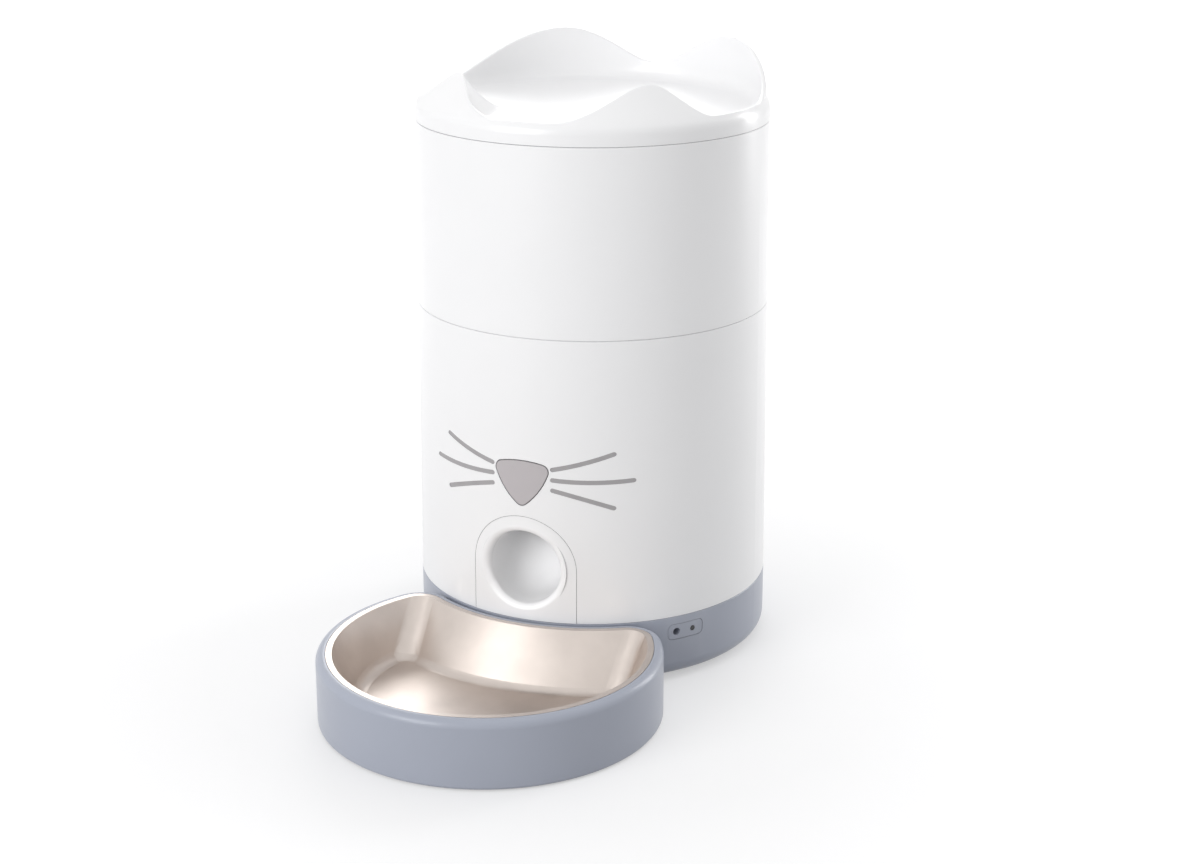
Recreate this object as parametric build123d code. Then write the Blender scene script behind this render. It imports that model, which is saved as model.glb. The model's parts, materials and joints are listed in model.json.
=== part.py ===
from build123d import *
import os
from math import acos, atan, cos, pi, radians, sin, sqrt, tan

# Smart pet feeder, in millimetres, standing on Z = 0 with its front towards -Y.
# Everything is drawn about the upright axis of the round body. The last function
# shifts it along Y, so that the origin is at the middle of the whole footprint.

# Body casing
body_radius = 105.0
draft_angle = 0.5
shell_wall = 2.5
base_seam_height = 39.5
tank_seam_height = 207.0
lid_seam_height = 314.0
seam_chamfer = 0.4
lift_gap = 0.3
panel_gap = 0.25
weld = 0.1

# Base
foot_height = 2.0
foot_pocket = 1.0
foot_radius = 6.5
foot_circle = 83.0
foot_angles = (60, 120, 240, 300)
base_floor = 2.5
base_edge_radius = 9.0

# Screw columns between the base and the lower shell
column_circle = 88.0
column_angles = (38, 142, 218, 322)
column_radius = 4.8
column_foot_height = 18.0
column_length = 60.0
column_rib = 2.4
screw_radius = 1.5
screw_head_radius = 2.8
screw_head_height = 2.4
screw_sink = 5.5
small_screw_radius = 1.1
small_head_radius = 2.1
small_head_height = 1.4

# Joint rings at the seams
tongue_thickness = 1.6
tongue_depth = 5.0
tongue_gap = 0.1

# Arched front panel and food chute
arch_half_width = 32.0
mouth_height = 70.5
mouth_lip = 3.6
mouth_boss = 4.5
panel_flange = 3.2
panel_flange_thickness = 2.0
chute_radius = 22.0
chute_wall = 2.0
chute_bend_radius = 34.0
chute_front_depth = 8.0
chute_run = 7.0

# Nose button and whiskers
nose_half_width = 17.6
nose_tall = 25.6
nose_above_panel = 5.1
nose_bulge = 2.9
nose_corner = 4.6
nose_gap = 0.35
nose_flange = 1.4
nose_travel = 1.2
nose_stem_radius = 3.0
whisker_root = 18.5
whisker_width = 2.6
whisker_sag = 0.7
whisker_rows = ((-1.2, 51.0, 8.6), (-7.4, 60.5, -7.3), (-13.5, 51.0, -23.3))
inlay_depth = 1.1
inlay_recess = 0.2
nose_board_width = 50.0
nose_board_height = 20.0
nose_board_depth = 8.0
nose_post_radius = 3.2
nose_post_inset = 4.0
nose_post_pilot = 4.0
nose_screw_grip = 3.5
nose_cut_margin = 10.0
nose_switch_size = 8.0
nose_switch_share = 0.3
nose_lamp_place = 9.0
nose_lamp_rise = 2.0
nose_lamp_width = 3.5
nose_lamp_height = 2.8
nose_lamp_depth = 1.2
nose_proud = 0.1
nose_back = 2.0
board_thickness = 1.6

# Light sensors beside the chute
sensor_board_size = 12.0

# Dispensing drum and rotor
drum_clearance = 2.0
drum_wall = 2.5
drum_floor_height = 128.0
drum_height = 42.0
shelf_thickness = 2.5
shelf_width = 7.0
rotor_height = 30.0
rotor_gap = 0.6
rotor_hub_radius = 16.0
vane_count = 6
vane_thickness = 2.6

# Gear train under the drum
gear_module = 0.8
pressure_angle = 20.0
addendum = 0.85
dedendum = 1.2
gear_backlash = 0.14
output_teeth = 60
wheel_teeth = 48
pinion_teeth = 16
gear_face = 5.0
gear_layer_gap = 1.0
case_wall = 2.0
case_gap = 1.2
shaft_radius = 4.0
bush_wall = 2.5
running_gap = 0.05
pin_radius = 1.5
motor_radius = 12.5
motor_length = 48.0
motor_screw_offset = 9.6

# Food tank and upper shell
tank_gap = 3.2
tank_wall = 2.0
throat_gap = 0.5
tank_cone_height = 30.0
tank_rim_drop = 4.0
tank_rim_thickness = 2.4
outlet_inner_radius = 17.0
outlet_margin = 4.0

# Lid
lid_skirt_height = 11.0
lid_floor_height = 321.0
lid_floor_thickness = 2.6
lid_wall = 2.8
lid_wall_top = 2.2
lid_lean = 0.4
lid_cove = 9.0
rim_rise = 1.2
shoulder_radius = 9.0
wave_steps = 16
ear_height = 25.8
ear_angle = 147.0
ear_width_back = 42.0
ear_width_side = 56.0
brow_height = 17.6
brow_angle = 46.0
brow_width_front = 37.5
brow_width_side = 19.5
brow_lean = 1.1
brow_fall = 1.45
brow_sink = 0.3
brow_wall_drop = 4.0
liner_screw_angles = (0, 90, 180, 270)
liner_boss_radius = 4.0
liner_boss_pilot = 3.0
liner_thickness = 2.2
liner_depth = 12.0
liner_ring = 2.2
seal_radial = 1.7
seal_height = 4.0
desiccant_radius = 29.0
desiccant_depth = 12.0
desiccant_wall = 1.8
desiccant_slots = 7
desiccant_slot_width = 2.4
desiccant_slot_share = 0.72
desiccant_plug = 5.0
desiccant_plug_wall = 1.6

# Feeding tray and steel dish
tray_radius = 97.0
tray_offset = 148.0
tray_gap = 1.2
tray_horn_radius = 20.0
tray_top_height = 40.0
tray_lift = 0.8
tray_wall = 2.5
tray_floor = 2.5
tray_edge_radius = 4.5
tray_rim_width = 8.0
tray_rim_depth = 6.0
tray_foot_radius = 5.0
dish_lip_width = 2.4
dish_thickness = 0.8
dish_floor_height = 10.0
dish_slope = 13.0
dish_rear_slope = 22.0
dish_corner = 11.0
dish_round = 8.0
tray_pin_radius = 3.0
tray_pin_reach = 8.0
tray_pin_offset = 18.0
tray_pin_height = 20.0
tray_pin_gap = 0.3

# Sockets on the base
port_angle = 53.7
port_height = 30.0
port_width = 24.0
port_tall = 9.6
port_corner = 3.0
port_flange = 1.6
jack_offset = -6.2
jack_width = 9.0
jack_depth = 11.0
jack_bore_radius = 2.2
jack_pin_radius = 0.65
reset_offset = 4.7
reset_radius = 1.5
reset_travel = 0.8
reset_body = 6.0
port_board_width = 26.0
port_board_depth = 16.0
port_post_radius = 2.6
port_post_share = 0.4
port_post_gap = 1.0
reset_collar = 0.8
reset_collar_length = 0.9
reset_switch_gap = 1.6
reset_switch_length = 4.0
jack_floor = 2.0
jack_pin_setback = 1.0

# Circuit board in the base
board_width = 80.0
board_length = 54.0
board_front = 10.0
board_height = 22.0
board_post_radius = 3.2
board_post_inset = 4.0
board_screw_grip = 6.0
radio_half = 9.0
radio_place = 22.0
radio_length = 25.0
radio_can_half = 7.5
radio_can_length = 17.0
radio_can_top = 3.0
carrier_thickness = 0.9
capacitor_radius = 4.0
capacitor_height = 11.0
capacitor_place = 12.0
capacitor_pitch = 10.0
socket_half = 5.0
socket_wall = 1.0
socket_place = 2.0
socket_length = 6.0
socket_height = 6.5
socket_floor = 2.0
socket_pitch = 14.0
socket_shift = -8.0
buzzer_radius = 6.0
buzzer_height = 8.0
buzzer_place = 36.0
buzzer_hole_radius = 1.0
buzzer_hole_depth = 3.0

# Battery bay for four AA cells
cell_radius = 7.25
cell_length = 50.5
cell_count = 4
cell_room = 0.5
bay_front = -66.0
bay_wall = 1.8
contact_room = 3.5
contact_thickness = 0.5
door_gap = 0.4
door_thickness = 2.0
door_pin_radius = 1.2
door_pin_rise = 0.25
door_pin_start = 2.0
door_tab_half = 6.0
door_tab_rise = 2.0
door_grip_half = 9.0
door_grip_place = 7.0
door_grip_width = 1.2
door_grip_pitch = 2.6
door_grip_depth = 0.6
contact_half = 4.0
contact_bump_radius = 1.8
contact_bump_height = 1.2
contact_margin = 3.0

BOTTOM = (Align.CENTER, Align.CENTER, Align.MIN)
nose_tip_height = mouth_height + arch_half_width + nose_above_panel
nose_top_height = nose_tip_height + nose_tall
slope = tan(radians(draft_angle))
base_floor_top = foot_height + base_floor
mouth_face = body_radius - chute_front_depth
bend_start = mouth_face - chute_run
outlet_reach = bend_start - chute_bend_radius
bend_top = mouth_height + chute_bend_radius
drum_radius = outlet_reach + chute_radius + drum_clearance
drum_floor_top = drum_floor_height + shelf_thickness
drum_top = drum_floor_height + drum_height
gear_centre = gear_module * (output_teeth + pinion_teeth) / 2
motor_centre = gear_centre + gear_module * (wheel_teeth + pinion_teeth) / 2
output_tip = gear_module * (output_teeth / 2 + addendum)
case_top = drum_floor_height
case_front = output_tip + case_gap + case_wall
case_back = motor_centre + motor_radius + case_wall
case_half_width = case_front
output_gear_low = case_top - case_wall - gear_layer_gap - gear_face
wheel_low = output_gear_low - gear_layer_gap - gear_face
case_floor_top = wheel_low - gear_layer_gap
case_bottom = case_floor_top - case_wall
rotor_low = drum_floor_top + rotor_gap
tank_floor = rotor_low + rotor_height + rotor_gap
board_top = board_height + board_thickness
bay_width = cell_count * 2 * cell_radius + 2 * cell_room
bay_length = cell_length + contact_room
bay_back = bay_front + bay_length
bay_top = base_floor_top + 2 * cell_radius + cell_room + door_thickness


def outer_radius(height):
    """Outside radius of the white casing at a height."""
    return body_radius - max(0, height - base_seam_height) * slope


tank_radius = outer_radius(lid_seam_height) - shell_wall - tank_gap
tank_rim_top = lid_seam_height - tank_rim_drop
rim_level = lid_seam_height + lid_skirt_height + rim_rise
shoulder_turn = atan(brow_lean)
shoulder_low = rim_level - shoulder_radius * sin(shoulder_turn)
rim_radius = outer_radius(lid_seam_height) - shoulder_radius * (1 - cos(shoulder_turn))
liner_top = lid_floor_height - lid_floor_thickness


def disc(radius, low, high):
    return Pos(0, 0, low) * Cylinder(radius, high - low, align=BOTTOM)


def ring(outer, inner, low, high):
    return disc(outer, low, high) - disc(inner, low, high)


def block(x_low, x_high, y_low, y_high, low, high):
    """Box between six faces."""
    size = (x_high - x_low, y_high - y_low, high - low)
    middle = ((x_low + x_high) / 2, (y_low + y_high) / 2, low)
    return Pos(*middle) * Box(*size, align=BOTTOM)


def turned(*points):
    """Solid of revolution about Z of a profile of (radius, height) points."""
    outline = Polyline(*[(radius, 0, height) for radius, height in points], close=True)
    return revolve(make_face(outline), Axis.Z)


def skin(outer_inset, inner_inset, low, high, chamfer=0):
    """Ring that follows the drafted casing, between two depths below its surface."""
    bottom = outer_radius(low)
    top = outer_radius(high)
    points = [(bottom - inner_inset, low), (bottom - outer_inset - chamfer, low)]
    if chamfer:
        points += [(bottom - outer_inset, low + chamfer), (top - outer_inset, high - chamfer)]
    points += [(top - outer_inset - chamfer, high), (top - inner_inset, high)]
    return turned(*points)


def at(circle, angle, height=0):
    """Place on a circle about the body axis, at an angle from the front towards +X."""
    return Pos(circle * sin(radians(angle)), -circle * cos(radians(angle)), height)


def forward(sketch, near, far):
    """Prism of an upright sketch, from `near` to `far` in front of the body axis."""
    return extrude(Plane.XZ.offset(near) * sketch, far - near)


def rod(radius, x, height, near, far):
    """Round bar that points to the front."""
    return forward(Pos(x, height) * Circle(radius), near, far)


def screw(length, head_radius, head_height, radius):
    """Pan head screw, head down, with its shank rising from Z = 0."""
    head = Pos(0, 0, -head_height) * Cylinder(head_radius, head_height, align=BOTTOM)
    head = chamfer(head.edges().sort_by(Axis.Z)[0], head_height * 0.3)
    cross = Box(head_radius * 1.2, radius * 0.5, head_height * 0.5, align=BOTTOM)
    cross += Box(radius * 0.5, head_radius * 1.2, head_height * 0.5, align=BOTTOM)
    return head - Pos(0, 0, -head_height) * cross + Cylinder(radius, length, align=BOTTOM)


def small_screw(length):
    return screw(length, small_head_radius, small_head_height, small_screw_radius)


def arch(grow, foot, near, far):
    """Outline of the arched front panel, grown all round, as a prism."""
    half = arch_half_width + grow
    outline = Pos(0, mouth_height) * Circle(half)
    outline += Pos(0, (mouth_height + foot) / 2) * Rectangle(2 * half, mouth_height - foot)
    return forward(outline, near, far)


def nose_side(start, end, grow):
    """Disc whose edge bulges from one corner of the nose to the next."""
    run = end[0] - start[0]
    rise = end[1] - start[1]
    chord = sqrt(run**2 + rise**2)
    radius = (chord**2 / 4 + nose_bulge**2) / (2 * nose_bulge)
    inward = (radius - nose_bulge) / chord
    x = (start[0] + end[0]) / 2 + rise * inward
    height = (start[1] + end[1]) / 2 - run * inward
    return Pos(x, height) * Circle(radius + grow)


def nose_prism(grow, near, far):
    """Rounded triangle with bulging sides, grown all round, as a prism."""
    left = (-nose_half_width, nose_top_height)
    right = (nose_half_width, nose_top_height)
    tip = (0, nose_tip_height)
    outline = nose_side(left, right, grow) & nose_side(right, tip, grow) & nose_side(tip, left, grow)
    outline = fillet(outline.vertices(), nose_corner + grow)
    return forward(outline, near, far)


def whisker_prisms(shrink=0):
    """Six round ended strokes, three on each side of the nose, as prisms."""
    prisms = []
    for side in (-1, 1):
        for root_rise, end, end_rise in whisker_rows:
            root_height = nose_top_height + root_rise
            end_height = nose_top_height + end_rise
            rise = whisker_sag if end_height >= root_height else -whisker_sag
            middle = ((whisker_root + end) / 2, (root_height + end_height) / 2 - rise)
            stroke = ThreePointArc(
                (side * whisker_root, root_height),
                (side * middle[0], middle[1]),
                (side * end, end_height),
            )
            outline = SlotArc(stroke, whisker_width - 2 * shrink)
            prisms.append(forward(outline, body_radius / 2, body_radius + shell_wall))
    return prisms


def port_prism(grow, near, far):
    """Rounded rectangle of the socket plate, before it is turned to its place."""
    outline = RectangleRounded(port_width + 2 * grow, port_tall + 2 * grow, port_corner + grow)
    return forward(Pos(0, port_height) * outline, near, far)


def at_port(shape):
    """Turn a shape drawn at the front to the place of the sockets."""
    return Rot(0, 0, port_angle) * shape


def crescent(inset, corner, rear_inset=None):
    """Round outline cut back along the body, with two rounded horns."""
    rear = body_radius + tray_gap + (inset if rear_inset is None else rear_inset)
    outline = Pos(0, -tray_offset) * Circle(tray_radius - inset) - Circle(rear)
    return fillet(outline.vertices(), corner)


def swell(away, height, inner, outer):
    """Smooth hump of a height, with its own reach on each side of its peak."""
    reach = inner if away < 0 else outer
    if abs(away) >= reach:
        return 0
    return height * (1 + cos(pi * away / reach)) / 2


def ear_wave(angle):
    """Height of the lid's thin rear wall above its lowest places."""
    turn = angle % 360
    left = swell(turn - ear_angle, ear_height, ear_width_side, ear_width_back)
    return left + swell(turn - 360 + ear_angle, ear_height, ear_width_back, ear_width_side)


def brow_wave(angle):
    """Height of the two low humps at the front of the lid."""
    turn = abs((angle + 180) % 360 - 180)
    return swell(turn - brow_angle, brow_height, brow_width_front, brow_width_side)


def base_housing():
    """Grey bucket with a rounded lower edge, bosses, posts and the battery bay."""
    outer = disc(body_radius, foot_height, base_seam_height)
    outer = fillet(outer.edges().sort_by(Axis.Z)[0], base_edge_radius)
    outer = chamfer(outer.edges().sort_by(Axis.Z)[-1], seam_chamfer)
    inner = disc(body_radius - shell_wall, base_floor_top, base_seam_height)
    inner = fillet(inner.edges().sort_by(Axis.Z)[0], base_edge_radius - shell_wall)
    body = outer - inner
    for angle in column_angles:
        body += at(column_circle, angle, base_floor_top) * Cylinder(
            column_radius, column_foot_height - base_floor_top, align=BOTTOM
        )
    for x in board_post_places()[0]:
        for y in board_post_places()[1]:
            post = Cylinder(board_post_radius, board_height - base_floor_top, align=BOTTOM)
            body += Pos(x, y, base_floor_top) * post
    for x in (-1, 1):
        post = Cylinder(port_post_radius, port_board_low() - base_floor_top, align=BOTTOM)
        back = -port_board_back() - port_post_radius - port_post_gap
        place = Pos(x * port_board_width * port_post_share, back, base_floor_top)
        body += at_port(place * post)
    wall = bay_wall
    half = bay_width / 2
    bay_walls = (-half - wall, half + wall, bay_front - wall, bay_back + wall)
    body += block(*bay_walls, base_floor_top, bay_top + wall)
    body -= block(-half, half, bay_front, bay_back, foot_height + door_thickness, bay_top)
    body -= door_outline(door_gap, foot_height, foot_height + door_thickness)
    for angle in column_angles:
        body -= at(column_circle, angle, foot_height) * Cylinder(
            screw_head_radius + lift_gap, screw_sink + screw_head_height - foot_height, align=BOTTOM
        )
        body -= at(column_circle, angle, foot_height) * Cylinder(
            screw_radius, column_foot_height, align=BOTTOM
        )
    for x in board_post_places()[0]:
        for y in board_post_places()[1]:
            body -= Pos(x, y, base_floor_top) * Cylinder(small_screw_radius, board_height, align=BOTTOM)
    for angle in foot_angles:
        body -= at(foot_circle, angle, foot_height) * Cylinder(foot_radius, foot_pocket, align=BOTTOM)
    body -= at_port(port_prism(0, body_radius - 2 * shell_wall, body_radius + shell_wall))
    for side in (-1, 1):
        hole = tray_pin_radius + tray_pin_gap
        body -= rod(hole, side * tray_pin_offset, tray_pin_height, body_radius * 0.7, body_radius)
    for side in (-1, 1):
        body -= door_pin(side, door_pin_radius + running_gap)
    return body


def rubber_feet():
    """Four round feet pressed into shallow pockets."""
    foot = Cylinder(foot_radius, foot_height + foot_pocket, align=BOTTOM)
    foot = fillet(foot.edges().sort_by(Axis.Z)[0], foot_height * 0.4)
    return [at(foot_circle, angle) * foot for angle in foot_angles]


def base_screws():
    """Four screws that rise through the base into the columns."""
    length = column_foot_height - screw_sink - screw_head_height + column_length * 0.3
    place = screw_sink + screw_head_height
    fastener = screw(length, screw_head_radius, screw_head_height, screw_radius)
    return [at(column_circle, angle, place) * fastener for angle in column_angles]


def door_outline(gap, low, high):
    """Rectangle of the battery door, grown by a gap."""
    half = bay_width / 2 + gap
    return block(-half, half, bay_front - gap, bay_back + gap, low, high)


def door_pin(side, radius):
    """Short hinge pin at the rear corners of the battery door."""
    reach = bay_width / 2 + door_gap + bay_wall * 0.6
    start = bay_width / 2 - door_pin_start
    pin = Rot(0, 90, 0) * Cylinder(radius, reach - start)
    height = foot_height + door_thickness / 2 + door_pin_rise
    return Pos(side * (start + reach) / 2, bay_back - door_thickness / 2, height) * pin


def battery_door():
    """Flush door under the base with two hinge pins and a snap tab."""
    half = bay_width / 2
    door = block(-half, half, bay_front, bay_back, foot_height, foot_height + door_thickness)
    rear = door.edges().filter_by(Axis.X).sort_by(Axis.Y)[-2:]
    door = fillet(rear, door_thickness * 0.45)
    for side in (-1, 1):
        door += door_pin(side, door_pin_radius)
    door_top = foot_height + door_thickness
    side = door_tab_half
    tab = (bay_front + door_gap, bay_front + bay_wall)
    door += block(-side, side, *tab, door_top, base_floor_top + door_tab_rise)
    side = door_grip_half
    near = bay_front + door_grip_place
    grip = block(-side, side, near, near + door_grip_width, foot_height, foot_height + door_grip_depth)
    for step in range(3):
        door -= Pos(0, door_grip_pitch * step, 0) * grip
    return door


def battery_contacts():
    """Eight spring plates that stand against the two ends of the bay."""
    plates = []
    for cell in range(cell_count):
        x = (cell - (cell_count - 1) / 2) * 2 * cell_radius
        for y in (bay_front, bay_back - contact_thickness):
            side = contact_half
            top = bay_top - 1
            plate = block(x - side, x + side, y, y + contact_thickness, base_floor_top + contact_margin, top)
            bump = Rot(90, 0, 0) * Cylinder(contact_bump_radius, contact_bump_height)
            rise = contact_bump_height / 2
            inward = contact_thickness + rise if y == bay_front else -rise
            plates.append(plate + Pos(x, y + inward, top - cell_radius) * bump)
    return plates


def board_post_places():
    """X and Y places of the posts under the circuit board."""
    side = board_width / 2 - board_post_inset
    return (-side, side), (board_front + board_post_inset, board_front + board_length - board_post_inset)


def main_board():
    """Circuit board on four posts."""
    half = board_width / 2
    board = block(-half, half, board_front, board_front + board_length, board_height, board_top)
    for x in board_post_places()[0]:
        for y in board_post_places()[1]:
            board -= Pos(x, y, board_height) * Cylinder(small_screw_radius, board_thickness, align=BOTTOM)
    return board


def board_screws():
    """Four screws that hold the circuit board on its posts."""
    fastener = Rot(180, 0, 0) * small_screw(board_thickness + board_screw_grip)
    xs, ys = board_post_places()
    return [Pos(x, y, board_top) * fastener for x in xs for y in ys]


def radio_module():
    """Small shielded wireless board on the circuit board."""
    x = -board_width / 4
    start = board_front + radio_place
    can_start = start + 1
    can_low = board_top + carrier_thickness
    carrier = block(x - radio_half, x + radio_half, start, start + radio_length, board_top, can_low)
    side = radio_can_half
    can = block(x - side, x + side, can_start, can_start + radio_can_length, can_low, board_top + radio_can_top)
    return carrier + can


def board_capacitors():
    """Three upright capacitors."""
    x = board_width / 4
    y = board_front + capacitor_place
    can = Cylinder(capacitor_radius, capacitor_height, align=BOTTOM)
    return [Pos(x + capacitor_pitch * step, y, board_top) * can for step in (-1, 0, 1)]


def board_connectors():
    """Three wire sockets along the front of the board."""
    sockets = []
    for step in (-1, 0, 1):
        x = socket_pitch * step + socket_shift
        near = board_front + socket_place
        far = near + socket_length
        top = board_top + socket_height
        socket = block(x - socket_half, x + socket_half, near, far, board_top, top)
        inner = socket_half - socket_wall
        low = board_top + socket_floor
        room = block(x - inner, x + inner, near + socket_wall, far - socket_wall, low, top)
        sockets.append(socket - room)
    return sockets


def buzzer():
    """Round sounder with a hole in its top."""
    place = Pos(board_width / 4, board_front + buzzer_place, board_top)
    body = Cylinder(buzzer_radius, buzzer_height, align=BOTTOM)
    hole = Cylinder(buzzer_hole_radius, buzzer_hole_depth, align=BOTTOM)
    return place * (body - Pos(0, 0, buzzer_height - buzzer_hole_depth) * hole)


def port_board_low():
    return port_height - jack_width / 2 - board_thickness


def port_board_back():
    return port_inner() - port_board_depth


def port_inner():
    """Distance from the body axis to the inner face of the socket plate."""
    reach = body_radius - shell_wall - port_flange
    return sqrt(reach**2 - (port_width / 2 + port_flange) ** 2) - lift_gap


def port_plate():
    """Socket plate that fills the slot in the base, with a flange behind it."""
    outer = disc(body_radius - inlay_recess, 0, base_seam_height)
    plate = outer & port_prism(-panel_gap, port_inner() + lift_gap, body_radius + 1)
    behind = ring(body_radius - shell_wall, body_radius - shell_wall - port_flange, 0, base_seam_height)
    plate += behind & port_prism(port_flange, body_radius / 2, body_radius)
    plate -= rod(jack_bore_radius + running_gap, jack_offset, port_height, body_radius / 2, body_radius)
    plate -= rod(reset_radius + running_gap * 3, reset_offset, port_height, body_radius / 2, body_radius)
    room = ring(body_radius - shell_wall, body_radius - shell_wall - 3 * port_flange, 0, base_seam_height)
    plate -= room & rod(reset_radius + 1.2, reset_offset, port_height, body_radius / 2, body_radius)
    return at_port(plate)


def port_board():
    """Small board that carries the power socket and the reset switch."""
    half = port_board_width / 2
    low = port_board_low()
    return at_port(block(-half, half, -port_inner(), -port_board_back(), low, low + board_thickness))


def dc_jack():
    """Power socket with a round bore and a centre pin."""
    low = port_board_low() + board_thickness
    x = jack_offset
    half = jack_width / 2
    body = block(x - half, x + half, -port_inner(), -port_inner() + jack_depth, low, low + jack_width)
    bore_back = port_inner() - jack_depth + jack_floor
    body -= rod(jack_bore_radius, x, port_height, bore_back, port_inner())
    pin = rod(jack_pin_radius, x, port_height, bore_back, port_inner() - jack_pin_setback)
    return at_port(body + pin)


def reset_switch():
    """Tact switch that faces outwards behind the reset button."""
    low = port_board_low() + board_thickness
    half = reset_body / 2
    x = reset_offset
    front = port_inner() - reset_switch_gap
    body = block(x - half, x + half, -front, -front + reset_switch_length, low, low + jack_width - 1)
    return at_port(body)


def reset_button():
    """Small round button with a collar behind the socket plate."""
    front = port_inner() - reset_switch_gap + reset_travel + lift_gap
    button = rod(reset_radius, reset_offset, port_height, front, body_radius - inlay_recess)
    collar = rod(reset_radius + reset_collar, reset_offset, port_height, front, front + reset_collar_length)
    return at_port(button + collar)


def lower_shell():
    """White lower casing with the arched opening, nose seat, shelf and columns."""
    shell = skin(0, shell_wall, base_seam_height, tank_seam_height, seam_chamfer)
    tongue_outer = body_radius - shell_wall - tongue_gap
    tongue_low = base_seam_height - tongue_depth
    tongue_inset = shell_wall + tongue_gap + tongue_thickness
    tongue = ring(tongue_outer, tongue_outer - tongue_thickness, tongue_low, base_seam_height)
    tongue += skin(shell_wall - weld, tongue_inset, base_seam_height, base_seam_height + tongue_depth)
    clear = arch_half_width + panel_flange + 2
    tongue -= block(-clear, clear, -body_radius, 0, 0, tank_seam_height)
    tongue -= at_port(block(-port_width, port_width, -body_radius, -body_radius / 2, 0, tank_seam_height))
    shell += tongue
    band_low = tank_seam_height - tongue_depth
    shell += skin(shell_wall - weld, shell_wall + tongue_thickness, band_low, tank_seam_height)
    top_ring = outer_radius(tank_seam_height) - shell_wall - lift_gap
    ring_top = tank_seam_height + tongue_depth
    shell += ring(top_ring, top_ring - tongue_thickness, tank_seam_height - 1, ring_top)
    shell += skin(shell_wall - weld, shell_wall + shelf_width, shelf_low(), shelf_low() + shelf_thickness)
    for angle in column_angles:
        shell += column(angle)
    shell -= arch(0, base_seam_height - tongue_depth, body_radius / 2, body_radius + 1)
    shell -= nose_prism(0, body_radius / 2, body_radius + 1)
    for prism in whisker_prisms():
        shell -= prism & skin(-1, inlay_depth, *nose_band())
    for x in nose_post_places():
        shell += nose_post(x)
    return shell


def shelf_low():
    """Underside of the shelf that carries the drum."""
    return drum_top - 2 * shelf_thickness


def column(angle):
    """Screw column of the lower shell with its rib to the wall."""
    low = column_foot_height
    body = Cylinder(column_radius, column_length, align=BOTTOM)
    reach = body_radius - shell_wall - column_circle + 0.5
    rib_length = column_length - base_seam_height + low - 1
    rib = Pos(0, -reach / 2, base_seam_height - low + 1) * Box(column_rib, reach, rib_length, align=BOTTOM)
    body += rib - Pos(0, -reach, 0) * Box(column_rib, tongue_thickness * 2, tongue_depth, align=BOTTOM)
    body -= Cylinder(screw_radius, column_length * 0.4, align=BOTTOM)
    return Rot(0, 0, angle) * Pos(0, -column_circle, low) * body


def nose_band():
    """Lowest and highest place of the nose and the whiskers, with a margin."""
    return nose_tip_height - nose_cut_margin, nose_top_height + 2 * nose_cut_margin


def nose_post_places():
    side = nose_board_width / 2 - nose_post_inset
    return (-side, side)


def nose_board_face():
    """Distance from the body axis to the front face of the nose board."""
    return body_radius - shell_wall - nose_board_depth


def nose_middle():
    return (nose_top_height + nose_tip_height) / 2


def nose_post(x):
    """Post from the inner wall to the nose board."""
    post = rod(nose_post_radius, x, nose_middle(), nose_board_face(), body_radius)
    post = post & disc(outer_radius(nose_middle()) - shell_wall + 0.5, 0, lid_seam_height)
    pilot_end = nose_board_face() + nose_post_pilot
    return post - rod(small_screw_radius, x, nose_middle(), nose_board_face(), pilot_end)


def nose_button():
    """Press button in the shape of a cat's nose, with a collar and a stem."""
    band = nose_band()
    back = shell_wall + nose_back
    button = nose_prism(-nose_gap, body_radius / 2, body_radius + 1) & skin(-nose_proud, back, *band)
    collar = nose_prism(nose_flange, body_radius / 2, body_radius + 1)
    button += collar & skin(shell_wall + lift_gap, back, *band)
    near = nose_board_face() + nose_switch_depth() + nose_travel + lift_gap
    return button + rod(nose_stem_radius, 0, nose_middle(), near, body_radius - shell_wall - 1)


def nose_switch_depth():
    return nose_board_depth * nose_switch_share


def nose_board():
    """Board behind the nose, on two posts."""
    near = nose_board_face() - board_thickness
    outline = Pos(0, nose_middle()) * Rectangle(nose_board_width, nose_board_height)
    board = forward(outline, near, nose_board_face())
    for x in nose_post_places():
        board -= rod(small_screw_radius, x, nose_middle(), near, nose_board_face())
    return board


def nose_board_screws():
    """Two screws from behind, through the board into its posts."""
    fastener = Rot(90, 0, 0) * small_screw(board_thickness + nose_screw_grip)
    back = -nose_board_face() + board_thickness
    return [Pos(x, back, nose_middle()) * fastener for x in nose_post_places()]


def nose_switch():
    """Tact switch in front of the nose board."""
    outline = Pos(0, nose_middle()) * RectangleRounded(nose_switch_size, nose_switch_size, 1)
    return forward(outline, nose_board_face(), nose_board_face() + nose_switch_depth())


def nose_lamps():
    """Two small lamps that light the nose from behind."""
    lamps = []
    for side in (-1, 1):
        place = Pos(side * nose_lamp_place, nose_middle() + nose_lamp_rise)
        lamp = place * Rectangle(nose_lamp_width, nose_lamp_height)
        lamps.append(forward(lamp, nose_board_face(), nose_board_face() + nose_lamp_depth))
    return lamps


def whisker_inlays():
    """Six grey strokes that fill shallow slots in the lower shell."""
    band = skin(inlay_recess, inlay_depth, *nose_band())
    return [prism & band for prism in whisker_prisms(0.05)]


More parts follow.
